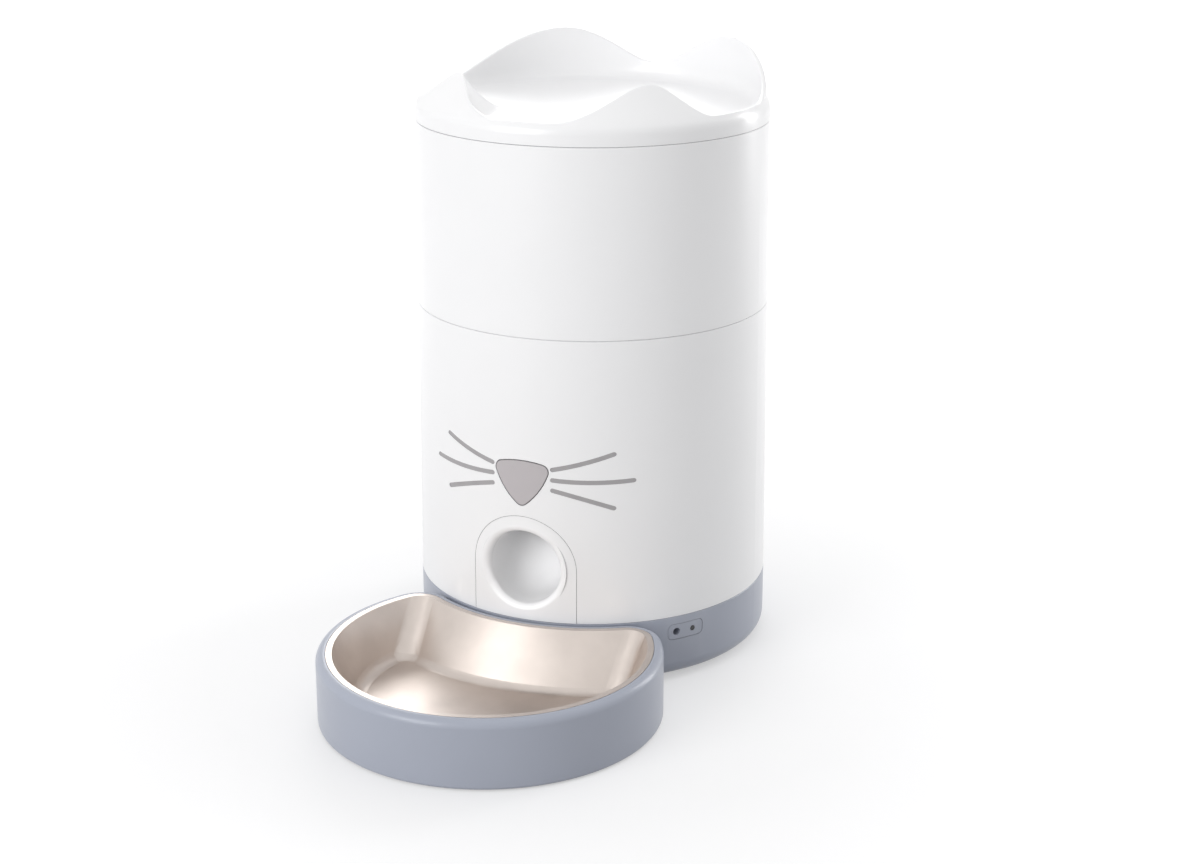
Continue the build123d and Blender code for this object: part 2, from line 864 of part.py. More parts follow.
def chute_cover():
    """Arched panel with the round mouth of the food chute."""
    foot = base_seam_height + panel_gap
    depth = shell_wall + tongue_gap + panel_flange_thickness
    top = mouth_height + arch_half_width + panel_flange + 2
    panel = skin(0, depth, foot, top) & arch(-panel_gap, foot, body_radius / 2, body_radius + 1)
    flange = skin(shell_wall + tongue_gap, depth, foot + tongue_depth, top)
    panel += flange & arch(panel_flange, foot + tongue_depth, body_radius / 2, body_radius + 1)
    panel += rod(chute_radius + mouth_boss, 0, mouth_height, mouth_face, body_radius - shell_wall)
    panel -= rod(chute_radius, 0, mouth_height, mouth_face - 1, body_radius + 1)
    lip = panel.edges().filter_by(lambda edge: on_mouth(edge))
    return fillet(lip, mouth_lip)


def on_mouth(edge):
    """True for the edge where the mouth meets the outside of the panel."""
    point = edge @ 0.5
    across = sqrt(point.X**2 + (point.Z - mouth_height) ** 2)
    return abs(across - chute_radius) < 0.1 and point.Y < -body_radius + shell_wall + 2


def chute_core(radius, spare):
    """Round bar along the middle of the chute, longer by `spare` at both ends."""
    front = (0, -mouth_face - spare, mouth_height)
    bend_in = (0, -bend_start, mouth_height)
    bend_out = (0, -outlet_reach, bend_top)
    middle = (0, chute_bend_radius * sqrt(0.5) - bend_start, bend_top - chute_bend_radius * sqrt(0.5))
    top = (0, -outlet_reach, drum_floor_height + spare)
    route = Wire([Line(front, bend_in), ThreePointArc(bend_in, middle, bend_out), Line(bend_out, top)])
    section = Plane(origin=front, x_dir=(1, 0, 0), z_dir=(0, 1, 0)) * Circle(radius)
    return sweep(section, route)


def food_chute():
    """Tube that bends from the drum's outlet to the mouth."""
    tube = chute_core(chute_radius + chute_wall, 0) - chute_core(chute_radius, 1)
    for side in (-1, 1):
        tube -= sensor_lamp(side, sensor_lamp_radius() + weld, chute_wall)
    return tube


def sensor_height():
    return (bend_top + drum_floor_height - tongue_depth) / 2


def sensor_lamp_radius():
    return chute_wall * 1.2


def sensor_lamp(side, radius, spare=0):
    """Round lens of a drop sensor, through the side wall of the chute."""
    lens = Rot(0, 90, 0) * Cylinder(radius, chute_wall + 2 * spare)
    return Pos(side * (chute_radius + chute_wall / 2), -outlet_reach, sensor_height()) * lens


def drop_sensors():
    """Two small boards beside the chute that see the food fall."""
    sensors = []
    for side in (-1, 1):
        x = side * (chute_radius + chute_wall + board_thickness / 2)
        board = Box(board_thickness, sensor_board_size, sensor_board_size)
        place = Pos(x, -outlet_reach, sensor_height())
        sensors.append(place * board + sensor_lamp(side, sensor_lamp_radius()))
    return sensors


def dispenser_drum():
    """Round drum with the outlet in its floor and a flange on the shelf."""
    drum = disc(drum_radius + drum_wall, drum_floor_height, drum_top)
    drum -= disc(drum_radius, drum_floor_top, drum_top)
    flange_outer = outer_radius(drum_top) - shell_wall - lift_gap
    drum += ring(flange_outer, drum_radius + drum_wall - 1, drum_top - shelf_thickness, drum_top)
    outlet = Pos(0, -outlet_reach, 0)
    tube_radius = chute_radius + chute_wall
    collar = ring(tube_radius + chute_wall, tube_radius, drum_floor_height - tongue_depth, drum_floor_top)
    drum += outlet * collar
    drum -= outlet * disc(chute_radius + 0.2, drum_floor_height - 1, drum_floor_top + 1)
    drum -= outlet * disc(chute_radius + chute_wall, 0, drum_floor_height)
    drum -= disc(shaft_radius + running_gap + bush_wall, drum_floor_height - 1, drum_floor_top + 1)
    for angle in drum_screw_angles():
        drum -= at(drum_screw_circle(), angle, drum_top - shelf_thickness) * Cylinder(
            small_screw_radius, shelf_thickness, align=BOTTOM
        )
    pilot = Cylinder(small_screw_radius, shelf_thickness * 0.7, align=BOTTOM)
    for x, y in case_screw_places():
        drum -= Pos(x, y, drum_floor_height) * pilot
    return drum


def drum_screw_angles():
    return (45, 135, 225, 315)


def drum_screw_circle():
    return outer_radius(drum_top) - shell_wall - shelf_width / 2


def drum_screws():
    """Four screws that hold the drum's flange on the shelf."""
    fastener = Rot(180, 0, 0) * small_screw(shelf_thickness)
    return [at(drum_screw_circle(), angle, drum_top) * fastener for angle in drum_screw_angles()]


def food_rotor():
    """Paddle wheel that carries a measured portion to the outlet."""
    low = rotor_low
    top = low + rotor_height
    hub = disc(rotor_hub_radius, low, top)
    hub = fillet(hub.edges().sort_by(Axis.Z)[-1], rotor_hub_radius * 0.3)
    wheel = hub
    reach = drum_radius - rotor_gap
    for index in range(vane_count):
        vane = Pos(0, reach / 2, low) * Box(vane_thickness, reach, rotor_height, align=BOTTOM)
        wheel += Rot(0, 0, 360 / vane_count * (index + 0.5)) * vane
    wheel = wheel & disc(reach, low, top)
    return wheel - disc(shaft_radius, low, shaft_top())


def shaft_top():
    return rotor_low + rotor_height * 0.7


def output_shaft():
    """Upright shaft that carries the output gear and the rotor."""
    return disc(shaft_radius, case_bottom, shaft_top())


def shaft_bush_lower():
    """Bearing bush in the floor of the gear case."""
    inner = shaft_radius + running_gap
    return ring(inner + bush_wall, inner, case_bottom, wheel_low)


def shaft_bush_upper():
    """Bearing bush in the drum's floor, above the gears."""
    inner = shaft_radius + running_gap
    return ring(inner + bush_wall, inner, case_top - case_wall, drum_floor_top)


def involute(angle):
    return tan(angle) - angle


def gear(teeth, thickness, bore, turn):
    """Spur gear with involute flanks and a tooth centred on the direction `turn`."""
    pitch = gear_module * teeth / 2
    pressure = radians(pressure_angle)
    base = pitch * cos(pressure)
    tip = pitch + gear_module * addendum
    root = pitch - gear_module * dedendum
    half_tooth = pi / (2 * teeth) - gear_backlash / (2 * pitch) + involute(pressure)
    start = max(root, base)
    flank = []
    for step in range(4):
        radius = start + (tip - start) * step / 3
        flank.append((radius, half_tooth - involute(acos(min(1, base / radius)))))
    if root < base:
        flank.insert(0, (root, flank[0][1]))
    points = []
    for tooth in range(teeth):
        centre = radians(turn) + 2 * pi * tooth / teeth
        for radius, half in flank:
            points.append((radius * cos(centre - half), radius * sin(centre - half)))
        for radius, half in reversed(flank):
            points.append((radius * cos(centre + half), radius * sin(centre + half)))
    body = extrude(make_face(Polyline(*points, close=True)), thickness)
    return body - Cylinder(bore, thickness, align=BOTTOM)


def output_gear():
    """Large gear on the rotor's shaft."""
    return Pos(0, 0, output_gear_low) * gear(output_teeth, gear_face, shaft_radius, 90)


def compound_gear():
    """Large wheel and small pinion in one piece, between motor and output gear."""
    half_pitch = 180 / pinion_teeth
    bore = pin_radius + running_gap
    wheel = Pos(0, 0, wheel_low) * gear(wheel_teeth, gear_face, bore, 90)
    spacer = ring(gear_module * pinion_teeth * 0.35, bore, wheel_low, output_gear_low)
    pinion = Pos(0, 0, output_gear_low) * gear(pinion_teeth, gear_face, bore, 270 + half_pitch)
    return Pos(0, gear_centre, 0) * (wheel + spacer + pinion)


def compound_pin():
    """Fixed steel pin that carries the compound gear."""
    return Pos(0, gear_centre, 0) * disc(pin_radius, case_bottom, case_top)


def motor_pinion():
    """Brass pinion on the motor's shaft."""
    half_pitch = 180 / pinion_teeth
    body = gear(pinion_teeth, gear_face, pin_radius, 270 + half_pitch)
    return Pos(0, motor_centre, wheel_low) * body


def motor_shaft():
    """Shaft of the gear motor."""
    return Pos(0, motor_centre, 0) * disc(pin_radius, case_bottom - motor_length * 0.2, wheel_low + gear_face)


def gear_motor():
    """Upright motor with its own reduction box, under the gear case."""
    top = case_bottom
    split = top - motor_length * 0.4
    low = top - motor_length
    body = disc(motor_radius, split, top) + disc(motor_radius - 0.6, low, split)
    body = chamfer(body.edges().sort_by(Axis.Z)[0], 1)
    body += disc(motor_radius * 0.4, low - 2, low)
    body -= disc(pin_radius + running_gap, top - motor_length * 0.2, top)
    for side in (-1, 1):
        body += Pos(side * motor_radius * 0.6, 0, low - 5) * Box(0.6, 2.6, 5, align=BOTTOM)
        body -= Pos(side * motor_screw_offset, 0, top - 4) * Cylinder(small_screw_radius, 4, align=BOTTOM)
    return Pos(0, motor_centre, 0) * body


def case_outline(grow):
    """Rounded rectangle round the gear train."""
    outline = RectangleRounded(2 * (case_half_width + grow), case_front + case_back + 2 * grow, 9 + grow)
    return Pos(0, (case_back - case_front) / 2) * outline


def case_screw_places():
    side = case_half_width - 5
    return [(x, y) for x in (-side, side) for y in (-case_front + 5, case_back - 5)]


def gearbox_case():
    """Open box that holds the gears and carries the motor."""
    body = Pos(0, 0, case_bottom) * extrude(case_outline(0), case_top - case_wall - case_bottom)
    body -= Pos(0, 0, case_floor_top) * extrude(case_outline(-case_wall), case_top)
    for x, y in case_screw_places():
        body += Pos(x, y, case_bottom) * Cylinder(3.2, case_top - case_wall - case_bottom, align=BOTTOM)
    for x, y in case_screw_places():
        body -= Pos(x, y, case_bottom) * Cylinder(small_screw_radius, case_top, align=BOTTOM)
    body -= disc(shaft_radius + running_gap + bush_wall, case_bottom, case_top)
    body -= Pos(0, gear_centre, 0) * disc(pin_radius, case_bottom, case_top)
    body -= Pos(0, motor_centre, 0) * disc(pin_radius * 2, case_bottom, case_top)
    for side in (-1, 1):
        body -= Pos(side * motor_screw_offset, motor_centre, case_bottom) * Cylinder(
            small_screw_radius, case_top, align=BOTTOM
        )
    return body


def gearbox_cover():
    """Flat cover over the gears, under the drum."""
    body = Pos(0, 0, case_top - case_wall) * extrude(case_outline(0), case_wall)
    for x, y in case_screw_places():
        body -= Pos(x, y, case_bottom) * Cylinder(small_screw_radius, case_top, align=BOTTOM)
    body -= disc(shaft_radius + running_gap + bush_wall, case_bottom, case_top)
    return body - Pos(0, gear_centre, 0) * disc(pin_radius, case_bottom, case_top)


def gearbox_screws():
    """Four screws from below, through the case into the drum's floor."""
    fastener = small_screw(case_top - case_bottom + shelf_thickness * 0.7)
    return [Pos(x, y, case_bottom) * fastener for x, y in case_screw_places()]


def motor_screws():
    """Two screws from inside the case into the motor's face."""
    head_height = gear_layer_gap * 0.9
    fastener = Rot(180, 0, 0) * screw(case_wall + 4, small_head_radius, head_height, small_screw_radius)
    return [Pos(side * motor_screw_offset, motor_centre, case_floor_top) * fastener for side in (-1, 1)]


def upper_shell():
    """White upper casing round the food tank, with a ledge for its rim."""
    shell = skin(0, shell_wall, tank_seam_height, lid_seam_height, seam_chamfer)
    ledge_top = tank_rim_top - tank_rim_thickness
    ledge_inset = outer_radius(ledge_top) - tank_radius - lift_gap
    shell += skin(shell_wall - weld, ledge_inset, ledge_top - 2.4, ledge_top)
    return shell


def food_tank():
    """Inner container with a funnel, a half round outlet and a rim."""
    throat = drum_radius - throat_gap
    cone_low = drum_top + lift_gap * 4
    cone_high = cone_low + tank_cone_height
    rim = outer_radius(tank_rim_top) - shell_wall - lift_gap
    wall = tank_wall
    outer = turned(
        (0, tank_floor),
        (throat, tank_floor),
        (throat, cone_low),
        (tank_radius, cone_high),
        (tank_radius, tank_rim_top - tank_rim_thickness),
        (rim, tank_rim_top - tank_rim_thickness),
        (rim, tank_rim_top),
        (0, tank_rim_top),
    )
    inner = turned(
        (0, tank_floor + wall),
        (throat - wall, tank_floor + wall),
        (throat - wall, cone_low),
        (tank_radius - wall, cone_high),
        (tank_radius - wall, tank_rim_top + 1),
        (0, tank_rim_top + 1),
    )
    body = outer - inner
    half = ring(throat - wall - outlet_margin, outlet_inner_radius, tank_floor, tank_floor + wall)
    return body - (half & block(-drum_radius, drum_radius, outlet_margin, drum_radius, 0, tank_rim_top))


def lid_profile():
    """Half section of the lid: skirt, round shoulder, wall, cove, floor and hollow below."""
    foot = outer_radius(lid_seam_height)
    inner_foot = foot - lid_wall
    top = rim_level + 2 * ear_height
    inner_wall = rim_radius - lid_wall
    cove_sink = lid_cove * (1 - sqrt(0.5))
    cove_top = (inner_wall, lid_floor_height + lid_cove)
    cove_middle = (inner_wall - cove_sink, lid_floor_height + cove_sink)
    cove_foot = (inner_wall - lid_cove, lid_floor_height)
    half_turn = shoulder_turn / 2
    shoulder_foot = (foot, shoulder_low)
    shoulder_middle = (
        foot - shoulder_radius * (1 - cos(half_turn)),
        shoulder_low + shoulder_radius * sin(half_turn),
    )
    shoulder_top = (rim_radius, rim_level)
    below = Polyline(
        cove_foot,
        (0, lid_floor_height),
        (0, liner_top),
        (inner_foot, liner_top),
        (inner_foot, lid_seam_height),
        (foot - seam_chamfer, lid_seam_height),
        (foot, lid_seam_height + seam_chamfer),
        shoulder_foot,
    )
    shoulder = ThreePointArc(shoulder_foot, shoulder_middle, shoulder_top)
    wall = Polyline(
        shoulder_top,
        (rim_radius - lid_lean, top),
        (rim_radius - lid_lean - lid_wall_top, top),
        cove_top,
    )
    cove = ThreePointArc(cove_top, cove_middle, cove_foot)
    return Plane.XZ * make_face([below, shoulder, wall, cove])


def above_line(points, turn, rise):
    """Everything above a line drawn over the body axis and carried to the front, rising by `rise`."""
    start = points[0]
    end = points[-1]
    top = rim_level + 3 * ear_height
    line = Spline(*points) if rise else Spline(*points, tangents=((1, 0), (1, 0)))
    edges = [
        line,
        Line(end, (end[0], top)),
        Line((end[0], top), (start[0], top)),
        Line((start[0], top), start),
    ]
    length = body_radius * 1.2 * sqrt(1 + rise**2)
    above = extrude(Plane.XZ * make_face(edges), length, dir=(0, -1, rise))
    return Rot(0, 0, turn) * above


def ear_cutter(turn, first, last):
    """Everything above the rear wall between two angles, cut square to the side at `turn`."""
    points = []
    for step in range(wave_steps + 1):
        angle = first + (last - first) * step / wave_steps
        place = outer_radius(lid_seam_height) * sin(radians(angle - turn))
        points.append((place, rim_level + ear_wave(angle)))
    return above_line(points, turn, 0)


def brow_cutter(turn, first, last):
    """Everything above the front humps between two angles, falling behind their ridge."""
    points = []
    for step in range(wave_steps + 1):
        angle = first + (last - first) * step / wave_steps
        height = rim_level - brow_sink + brow_wave(angle)
        ridge = rim_radius - brow_lean * (height - rim_level)
        across = ridge * sin(radians(angle - turn))
        along = ridge * cos(radians(angle - turn))
        points.append((across, height - brow_fall * along))
    return above_line(points, turn, brow_fall)


def brows():
    """Two humps that lean back from the front edge of the lid and fall to its floor."""
    low = lid_floor_height - lid_floor_thickness / 2
    peak = rim_level + brow_height + 2 * brow_sink
    inner = brow_ridge_foot()
    body = turned(
        (inner, low),
        (rim_radius, low),
        (rim_radius, rim_level),
        (rim_radius - brow_lean * (peak - rim_level), peak),
        (inner, peak),
    )
    body = body & block(-body_radius, body_radius, -body_radius, 0, 0, peak)
    body -= brow_cutter(0, -brow_angle, brow_angle)
    body -= brow_cutter(90, brow_angle, 90)
    body -= brow_cutter(-90, -90, -brow_angle)
    return body


def brow_ridge_foot():
    """Radius where the back of a hump has reached the lid's floor."""
    ridge = rim_radius - brow_lean * brow_height
    return ridge - (rim_level + brow_height - lid_floor_height + lid_floor_thickness) / brow_fall


def lid_shell():
    """White lid: a skirt, a round shoulder, a dished floor, two low humps and a wall with two ears."""
    reach = body_radius
    lid = revolve(lid_profile(), Axis.Z)
    lid -= block(-reach, reach, -reach, 0, rim_level, rim_level + 3 * ear_height)
    lid -= ear_cutter(90, 90, ear_angle)
    lid -= ear_cutter(180, ear_angle, 360 - ear_angle)
    lid -= ear_cutter(270, 360 - ear_angle, 270)
    lid += brows()
    hollow = disc(rim_radius - lid_wall, liner_top - 1, rim_level + brow_height)
    lid -= Pos(0, 0, -brow_wall_drop) * brows() & hollow
    boss = Cylinder(liner_boss_radius, liner_top - liner_plate_top() + 0.5, align=BOTTOM)
    pilot = Cylinder(small_screw_radius, liner_boss_pilot, align=BOTTOM)
    for angle in liner_screw_angles:
        lid += at(liner_boss_circle(), angle, liner_plate_top()) * boss
    for angle in liner_screw_angles:
        lid -= at(liner_boss_circle(), angle, liner_plate_top()) * pilot
    return lid


def liner_plate_top():
    return lid_seam_height + liner_thickness + 1


def liner_boss_circle():
    return tank_radius * 0.72


def liner_radius():
    """Outside radius of the liner's ring, inside the seal."""
    return tank_radius - tank_wall - lift_gap - seal_radial


def lid_liner():
    """Plate under the lid with a ring that plugs the tank and a desiccant cup."""
    plate_low = liner_plate_top() - liner_thickness
    rim = outer_radius(lid_seam_height) - lid_wall - lift_gap
    low = tank_rim_top - liner_depth
    body = disc(rim, plate_low, liner_plate_top())
    body += ring(liner_radius(), liner_radius() - liner_ring, low, plate_low)
    outer = liner_radius() + seal_radial * 0.6
    middle = (low + tank_rim_top) / 2
    body += ring(outer, liner_radius() - liner_ring, middle + seal_height / 2, middle + seal_height / 2 + 1.2)
    body += ring(outer, liner_radius() - liner_ring, middle - seal_height / 2 - 1.2, middle - seal_height / 2)
    cup = desiccant_radius
    body += ring(cup + desiccant_wall, cup, plate_low - desiccant_depth, plate_low)
    hole = Cylinder(small_screw_radius, liner_thickness, align=BOTTOM)
    for angle in liner_screw_angles:
        body -= at(liner_boss_circle(), angle, plate_low) * hole
    return body


def lid_seal():
    """Silicone ring with two soft lips round the liner."""
    middle = (2 * tank_rim_top - liner_depth) / 2
    half = seal_height / 2
    seal = ring(liner_radius() + seal_radial * 0.5, liner_radius(), middle - half, middle + half)
    lip = ring(liner_radius() + seal_radial, liner_radius(), middle - 0.5, middle + 0.5)
    return seal + lip


def liner_screws():
    """Four screws that hold the liner under the lid."""
    plate_low = liner_plate_top() - liner_thickness
    fastener = small_screw(liner_thickness + 2.5)
    return [at(liner_boss_circle(), angle, plate_low) * fastener for angle in liner_screw_angles]


def desiccant_cover():
    """Slotted cap that plugs into the desiccant cup from below."""
    low = liner_plate_top() - liner_thickness - desiccant_depth
    top = low - lift_gap
    plug = desiccant_radius - lift_gap
    plate = disc(desiccant_radius + desiccant_wall, top - desiccant_wall, top)
    plate += ring(plug, plug - desiccant_plug_wall, top, low + desiccant_plug)
    pitch = 1.45 * desiccant_radius / desiccant_slots
    for step in range(desiccant_slots):
        y = pitch * (step - (desiccant_slots - 1) / 2)
        chord = 2 * sqrt(desiccant_radius**2 - y**2)
        slot = SlotOverall(chord * desiccant_slot_share, desiccant_slot_width)
        plate -= Pos(0, y, top - desiccant_wall) * extrude(slot, desiccant_wall)
    return plate


def feeding_tray():
    """Grey crescent tray with a hollow for the dish and two locating pins."""
    body = Pos(0, 0, tray_lift) * extrude(crescent(0, tray_horn_radius), tray_top_height - tray_lift)
    body = fillet(body.faces().sort_by(Axis.Z)[-1].edges(), tray_edge_radius)
    body = fillet(body.faces().sort_by(Axis.Z)[0].edges(), tray_edge_radius * 0.4)
    floor_top = tray_lift + tray_floor
    cavity_top = tray_top_height - tray_rim_depth
    corner = tray_horn_radius
    body -= Pos(0, 0, floor_top) * extrude(crescent(tray_wall, corner - tray_wall), cavity_top - floor_top)
    rim = crescent(tray_rim_width, corner - tray_rim_width)
    body -= Pos(0, 0, floor_top) * extrude(rim, tray_top_height)
    step = tray_rim_width - dish_lip_width - lift_gap
    lip_seat = crescent(step, corner - step)
    body -= Pos(0, 0, tray_top_height - dish_thickness - lift_gap) * extrude(lip_seat, tray_top_height)
    for side in (-1, 1):
        x = side * tray_pin_offset
        wall = sqrt((body_radius + tray_gap) ** 2 - x**2)
        body += rod(tray_pin_radius, x, tray_pin_height, wall - tray_pin_reach, wall + tray_wall / 2)
    for x, y in tray_foot_places():
        body -= Pos(x, y, tray_lift) * Cylinder(tray_foot_radius, foot_pocket, align=BOTTOM)
    return body


def tray_foot_places():
    side = tray_radius * 0.62
    return [(side, -tray_offset), (-side, -tray_offset), (0, -tray_offset - side), (0, -body_radius - 20)]


def tray_pads():
    """Four soft pads under the tray."""
    pad = Cylinder(tray_foot_radius, tray_lift + foot_pocket, align=BOTTOM)
    return [Pos(x, y) * pad for x, y in tray_foot_places()]


def dish_loft(extra, low, high):
    """Bowl shaped solid between two crescents, with a rounded bottom edge."""
    edge = tray_rim_width + lift_gap + extra
    corner = dish_corner - extra
    top = Pos(0, 0, high) * crescent(edge, corner)
    bottom = Pos(0, 0, low) * crescent(edge + dish_slope, corner, edge + dish_rear_slope)
    body = loft([bottom, top])
    return fillet(body.faces().sort_by(Axis.Z)[0].edges(), dish_round - extra)


def steel_dish():
    """Pressed steel dish with a narrow flat lip."""
    top = tray_top_height
    seat = top - dish_thickness
    outer = dish_loft(0, dish_floor_height, seat)
    edge = tray_rim_width - dish_lip_width
    corner = tray_horn_radius - edge
    dish = outer + Pos(0, 0, seat) * extrude(crescent(edge, corner), dish_thickness)
    inner = dish_loft(dish_thickness, dish_floor_height + dish_thickness, top)
    return dish - inner


def save(name, shape, shift):
    """Write one sub-part, given as a solid or a list of solids."""
    solids = shape if isinstance(shape, list) else [shape]
    placed = []
    for item in solids:
        for solid in item.solids():
            placed.append(Pos(0, shift, 0) * solid)
    export_step(placed[0] if len(placed) == 1 else Compound(placed), f"parts/{name}.step")


def main():
    os.makedirs("parts", exist_ok=True)
    shift = (tray_offset + tray_radius - body_radius) / 2
    pieces = (
        base_housing,
        rubber_feet,
        base_screws,
        battery_door,
        battery_contacts,
        main_board,
        board_screws,
        radio_module,
        board_capacitors,
        board_connectors,
        buzzer,
        port_plate,
        port_board,
        dc_jack,
        reset_switch,
        reset_button,
        lower_shell,
        whisker_inlays,
        nose_button,
        nose_board,
        nose_board_screws,
        nose_switch,
        nose_lamps,
        chute_cover,
        food_chute,
        drop_sensors,
        dispenser_drum,
        drum_screws,
        food_rotor,
        output_shaft,
        output_gear,
        shaft_bush_lower,
        shaft_bush_upper,
        compound_gear,
        compound_pin,
        motor_pinion,
        motor_shaft,
        gear_motor,
        motor_screws,
        gearbox_case,
        gearbox_cover,
        gearbox_screws,
        upper_shell,
        food_tank,
        lid_shell,
        lid_liner,
        lid_seal,
        liner_screws,
        desiccant_cover,
        feeding_tray,
        tray_pads,
        steel_dish,
    )
    for piece in pieces:
        save(piece.__name__, piece(), shift)


main()
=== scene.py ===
import json
from math import atan, atan2, cos, degrees, pi, radians, sin

import bpy
from mathutils import Euler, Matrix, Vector


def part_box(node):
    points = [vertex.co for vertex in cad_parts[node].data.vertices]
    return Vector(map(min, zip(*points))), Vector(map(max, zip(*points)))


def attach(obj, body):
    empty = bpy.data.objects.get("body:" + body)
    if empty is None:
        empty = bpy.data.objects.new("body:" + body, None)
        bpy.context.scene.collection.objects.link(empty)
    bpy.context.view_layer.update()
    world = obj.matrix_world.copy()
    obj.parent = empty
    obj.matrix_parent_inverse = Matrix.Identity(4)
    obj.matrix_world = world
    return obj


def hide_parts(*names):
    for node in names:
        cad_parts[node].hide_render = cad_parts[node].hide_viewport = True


bl_info = {
    "name": "Pet feeder looks",
    "version": (1, 0, 0),
    "blender": (4, 5, 0),
    "location": "View3D > Sidebar > Feeder",
    "description": "Finishes and detailed pieces of a dry food feeder",
    "category": "Object",
}

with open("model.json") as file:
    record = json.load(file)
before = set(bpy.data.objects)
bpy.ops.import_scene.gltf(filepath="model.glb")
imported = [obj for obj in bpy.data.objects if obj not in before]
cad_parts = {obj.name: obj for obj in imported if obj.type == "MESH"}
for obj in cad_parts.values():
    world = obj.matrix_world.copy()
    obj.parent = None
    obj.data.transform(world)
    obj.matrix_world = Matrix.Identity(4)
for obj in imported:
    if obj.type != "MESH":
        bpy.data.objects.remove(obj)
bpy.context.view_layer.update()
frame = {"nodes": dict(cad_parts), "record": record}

# Lengths are in metres, apart from the lid's section. Places come from the frame's own pieces.
MM = 0.001
shell_low, shell_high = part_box("lower_shell")
lid_low, lid_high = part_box("lid_shell")
AXIS_Y = (shell_low.y + shell_high.y) / 2
DISH_ARC_Y = AXIS_Y - 148 * MM


def paint(red, green, blue):
    """Linear colour of a screen colour with parts from 0 to 255."""
    parts = []
    for part in (red, green, blue):
        share = part / 255
        parts.append(share / 12.92 if share <= 0.04045 else ((share + 0.055) / 1.055) ** 2.4)
    return (*parts, 1.0)


def darker(colour, share):
    """The same colour, with its parts multiplied by a share."""
    return (colour[0] * share, colour[1] * share, colour[2] * share, 1.0)


def lighter(colour, share):
    """The colour moved a share of the way to white."""
    return tuple(part + (1 - part) * share for part in colour[:3]) + (1.0,)


class FeederColours(bpy.types.PropertyGroup):
    """Colours that a user would change."""

    casing: bpy.props.FloatVectorProperty(
        name="Casing", description="Glossy casing, lid and front panel",
        subtype="COLOR", size=4, min=0, max=1, default=paint(243, 243, 244),
    )
    base: bpy.props.FloatVectorProperty(
        name="Base and tray", description="Satin base and feeding tray",
        subtype="COLOR", size=4, min=0, max=1, default=paint(165, 170, 183),
    )
    nose: bpy.props.FloatVectorProperty(
        name="Nose", description="Nose shaped button",
        subtype="COLOR", size=4, min=0, max=1, default=paint(188, 183, 185),
    )
    whiskers: bpy.props.FloatVectorProperty(
        name="Whiskers", description="Inlaid strokes beside the nose",
        subtype="COLOR", size=4, min=0, max=1, default=paint(150, 147, 149),
    )
    steel: bpy.props.FloatVectorProperty(
        name="Steel", description="Dish",
        subtype="COLOR", size=4, min=0, max=1, default=paint(212, 202, 195),
    )


class FeederSizes(bpy.types.PropertyGroup):
    """Sizes that a user would change."""

    camera_distance: bpy.props.FloatProperty(
        name="Camera distance", description="Level distance from the body's axis",
        subtype="DISTANCE", unit="LENGTH", default=1.239,
    )
    camera_height: bpy.props.FloatProperty(
        name="Camera height", description="Height above the floor",
        subtype="DISTANCE", unit="LENGTH", default=0.5267,
    )
    camera_azimuth: bpy.props.FloatProperty(
        name="Camera side", description="Angle of the camera from the front towards the right",
        subtype="ANGLE", unit="ROTATION", default=radians(22.89),
    )
    camera_pitch: bpy.props.FloatProperty(
        name="Camera pitch", description="Angle of the view below the horizon",
        subtype="ANGLE", unit="ROTATION", default=radians(18.13),
    )
    camera_lens: bpy.props.FloatProperty(
        name="Camera lens", description="Focal length in millimetres", default=64.44,
    )


def colours():
    return bpy.context.scene.feeder_colours


def sizes():
    return bpy.context.scene.feeder_sizes


# Shader helpers


def node_group(name, inputs, outputs):
    """New shader group with named sockets: its tree, its input node and its output node."""
    tree = bpy.data.node_groups.new(name, "ShaderNodeTree")
    for socket, kind, value in inputs:
        made = tree.interface.new_socket(socket, in_out="INPUT", socket_type=kind)
        if value is not None:
            made.default_value = value
    for socket, kind in outputs:
        tree.interface.new_socket(socket, in_out="OUTPUT", socket_type=kind)
    return tree, tree.nodes.new("NodeGroupInput"), tree.nodes.new("NodeGroupOutput")


def feed(tree, socket, value):
    """Set an input to a number or a colour, or link another node's output to it."""
    if isinstance(value, (int, float, tuple)):
        socket.default_value = value
    else:
        tree.links.new(value, socket)


def add_noise(tree, vector, scale, detail, roughness=0.5):
    """Noise texture whose scale is a socket or a number."""
    noise = tree.nodes.new("ShaderNodeTexNoise")
    noise.inputs["Detail"].default_value = detail
    noise.inputs["Roughness"].default_value = roughness
    feed(tree, noise.inputs["Vector"], vector)
    feed(tree, noise.inputs["Scale"], scale)
    return noise.outputs["Fac"]


def add_range(tree, value, low, high, to_low, to_high):
    """Map Range node, with numbers or sockets for its ends."""
    node = tree.nodes.new("ShaderNodeMapRange")
    feed(tree, node.inputs["Value"], value)
    for socket, end in (("From Min", low), ("From Max", high), ("To Min", to_low), ("To Max", to_high)):
        feed(tree, node.inputs[socket], end)
    return node.outputs["Result"]


def add_math(tree, operation, first, second):
    """Math node of two sockets or numbers."""
    node = tree.nodes.new("ShaderNodeMath")
    node.operation = operation
    feed(tree, node.inputs[0], first)
    feed(tree, node.inputs[1], second)
    return node.outputs["Value"]


def add_mix(tree, share, first, second):
    """Colour mix of two sockets or colours."""
    node = tree.nodes.new("ShaderNodeMix")
    node.data_type = "RGBA"
    shown = [socket for socket in node.inputs if socket.enabled]
    for socket, value in zip(shown, (share, first, second)):
        feed(tree, socket, value)
    return [socket for socket in node.outputs if socket.enabled][0]


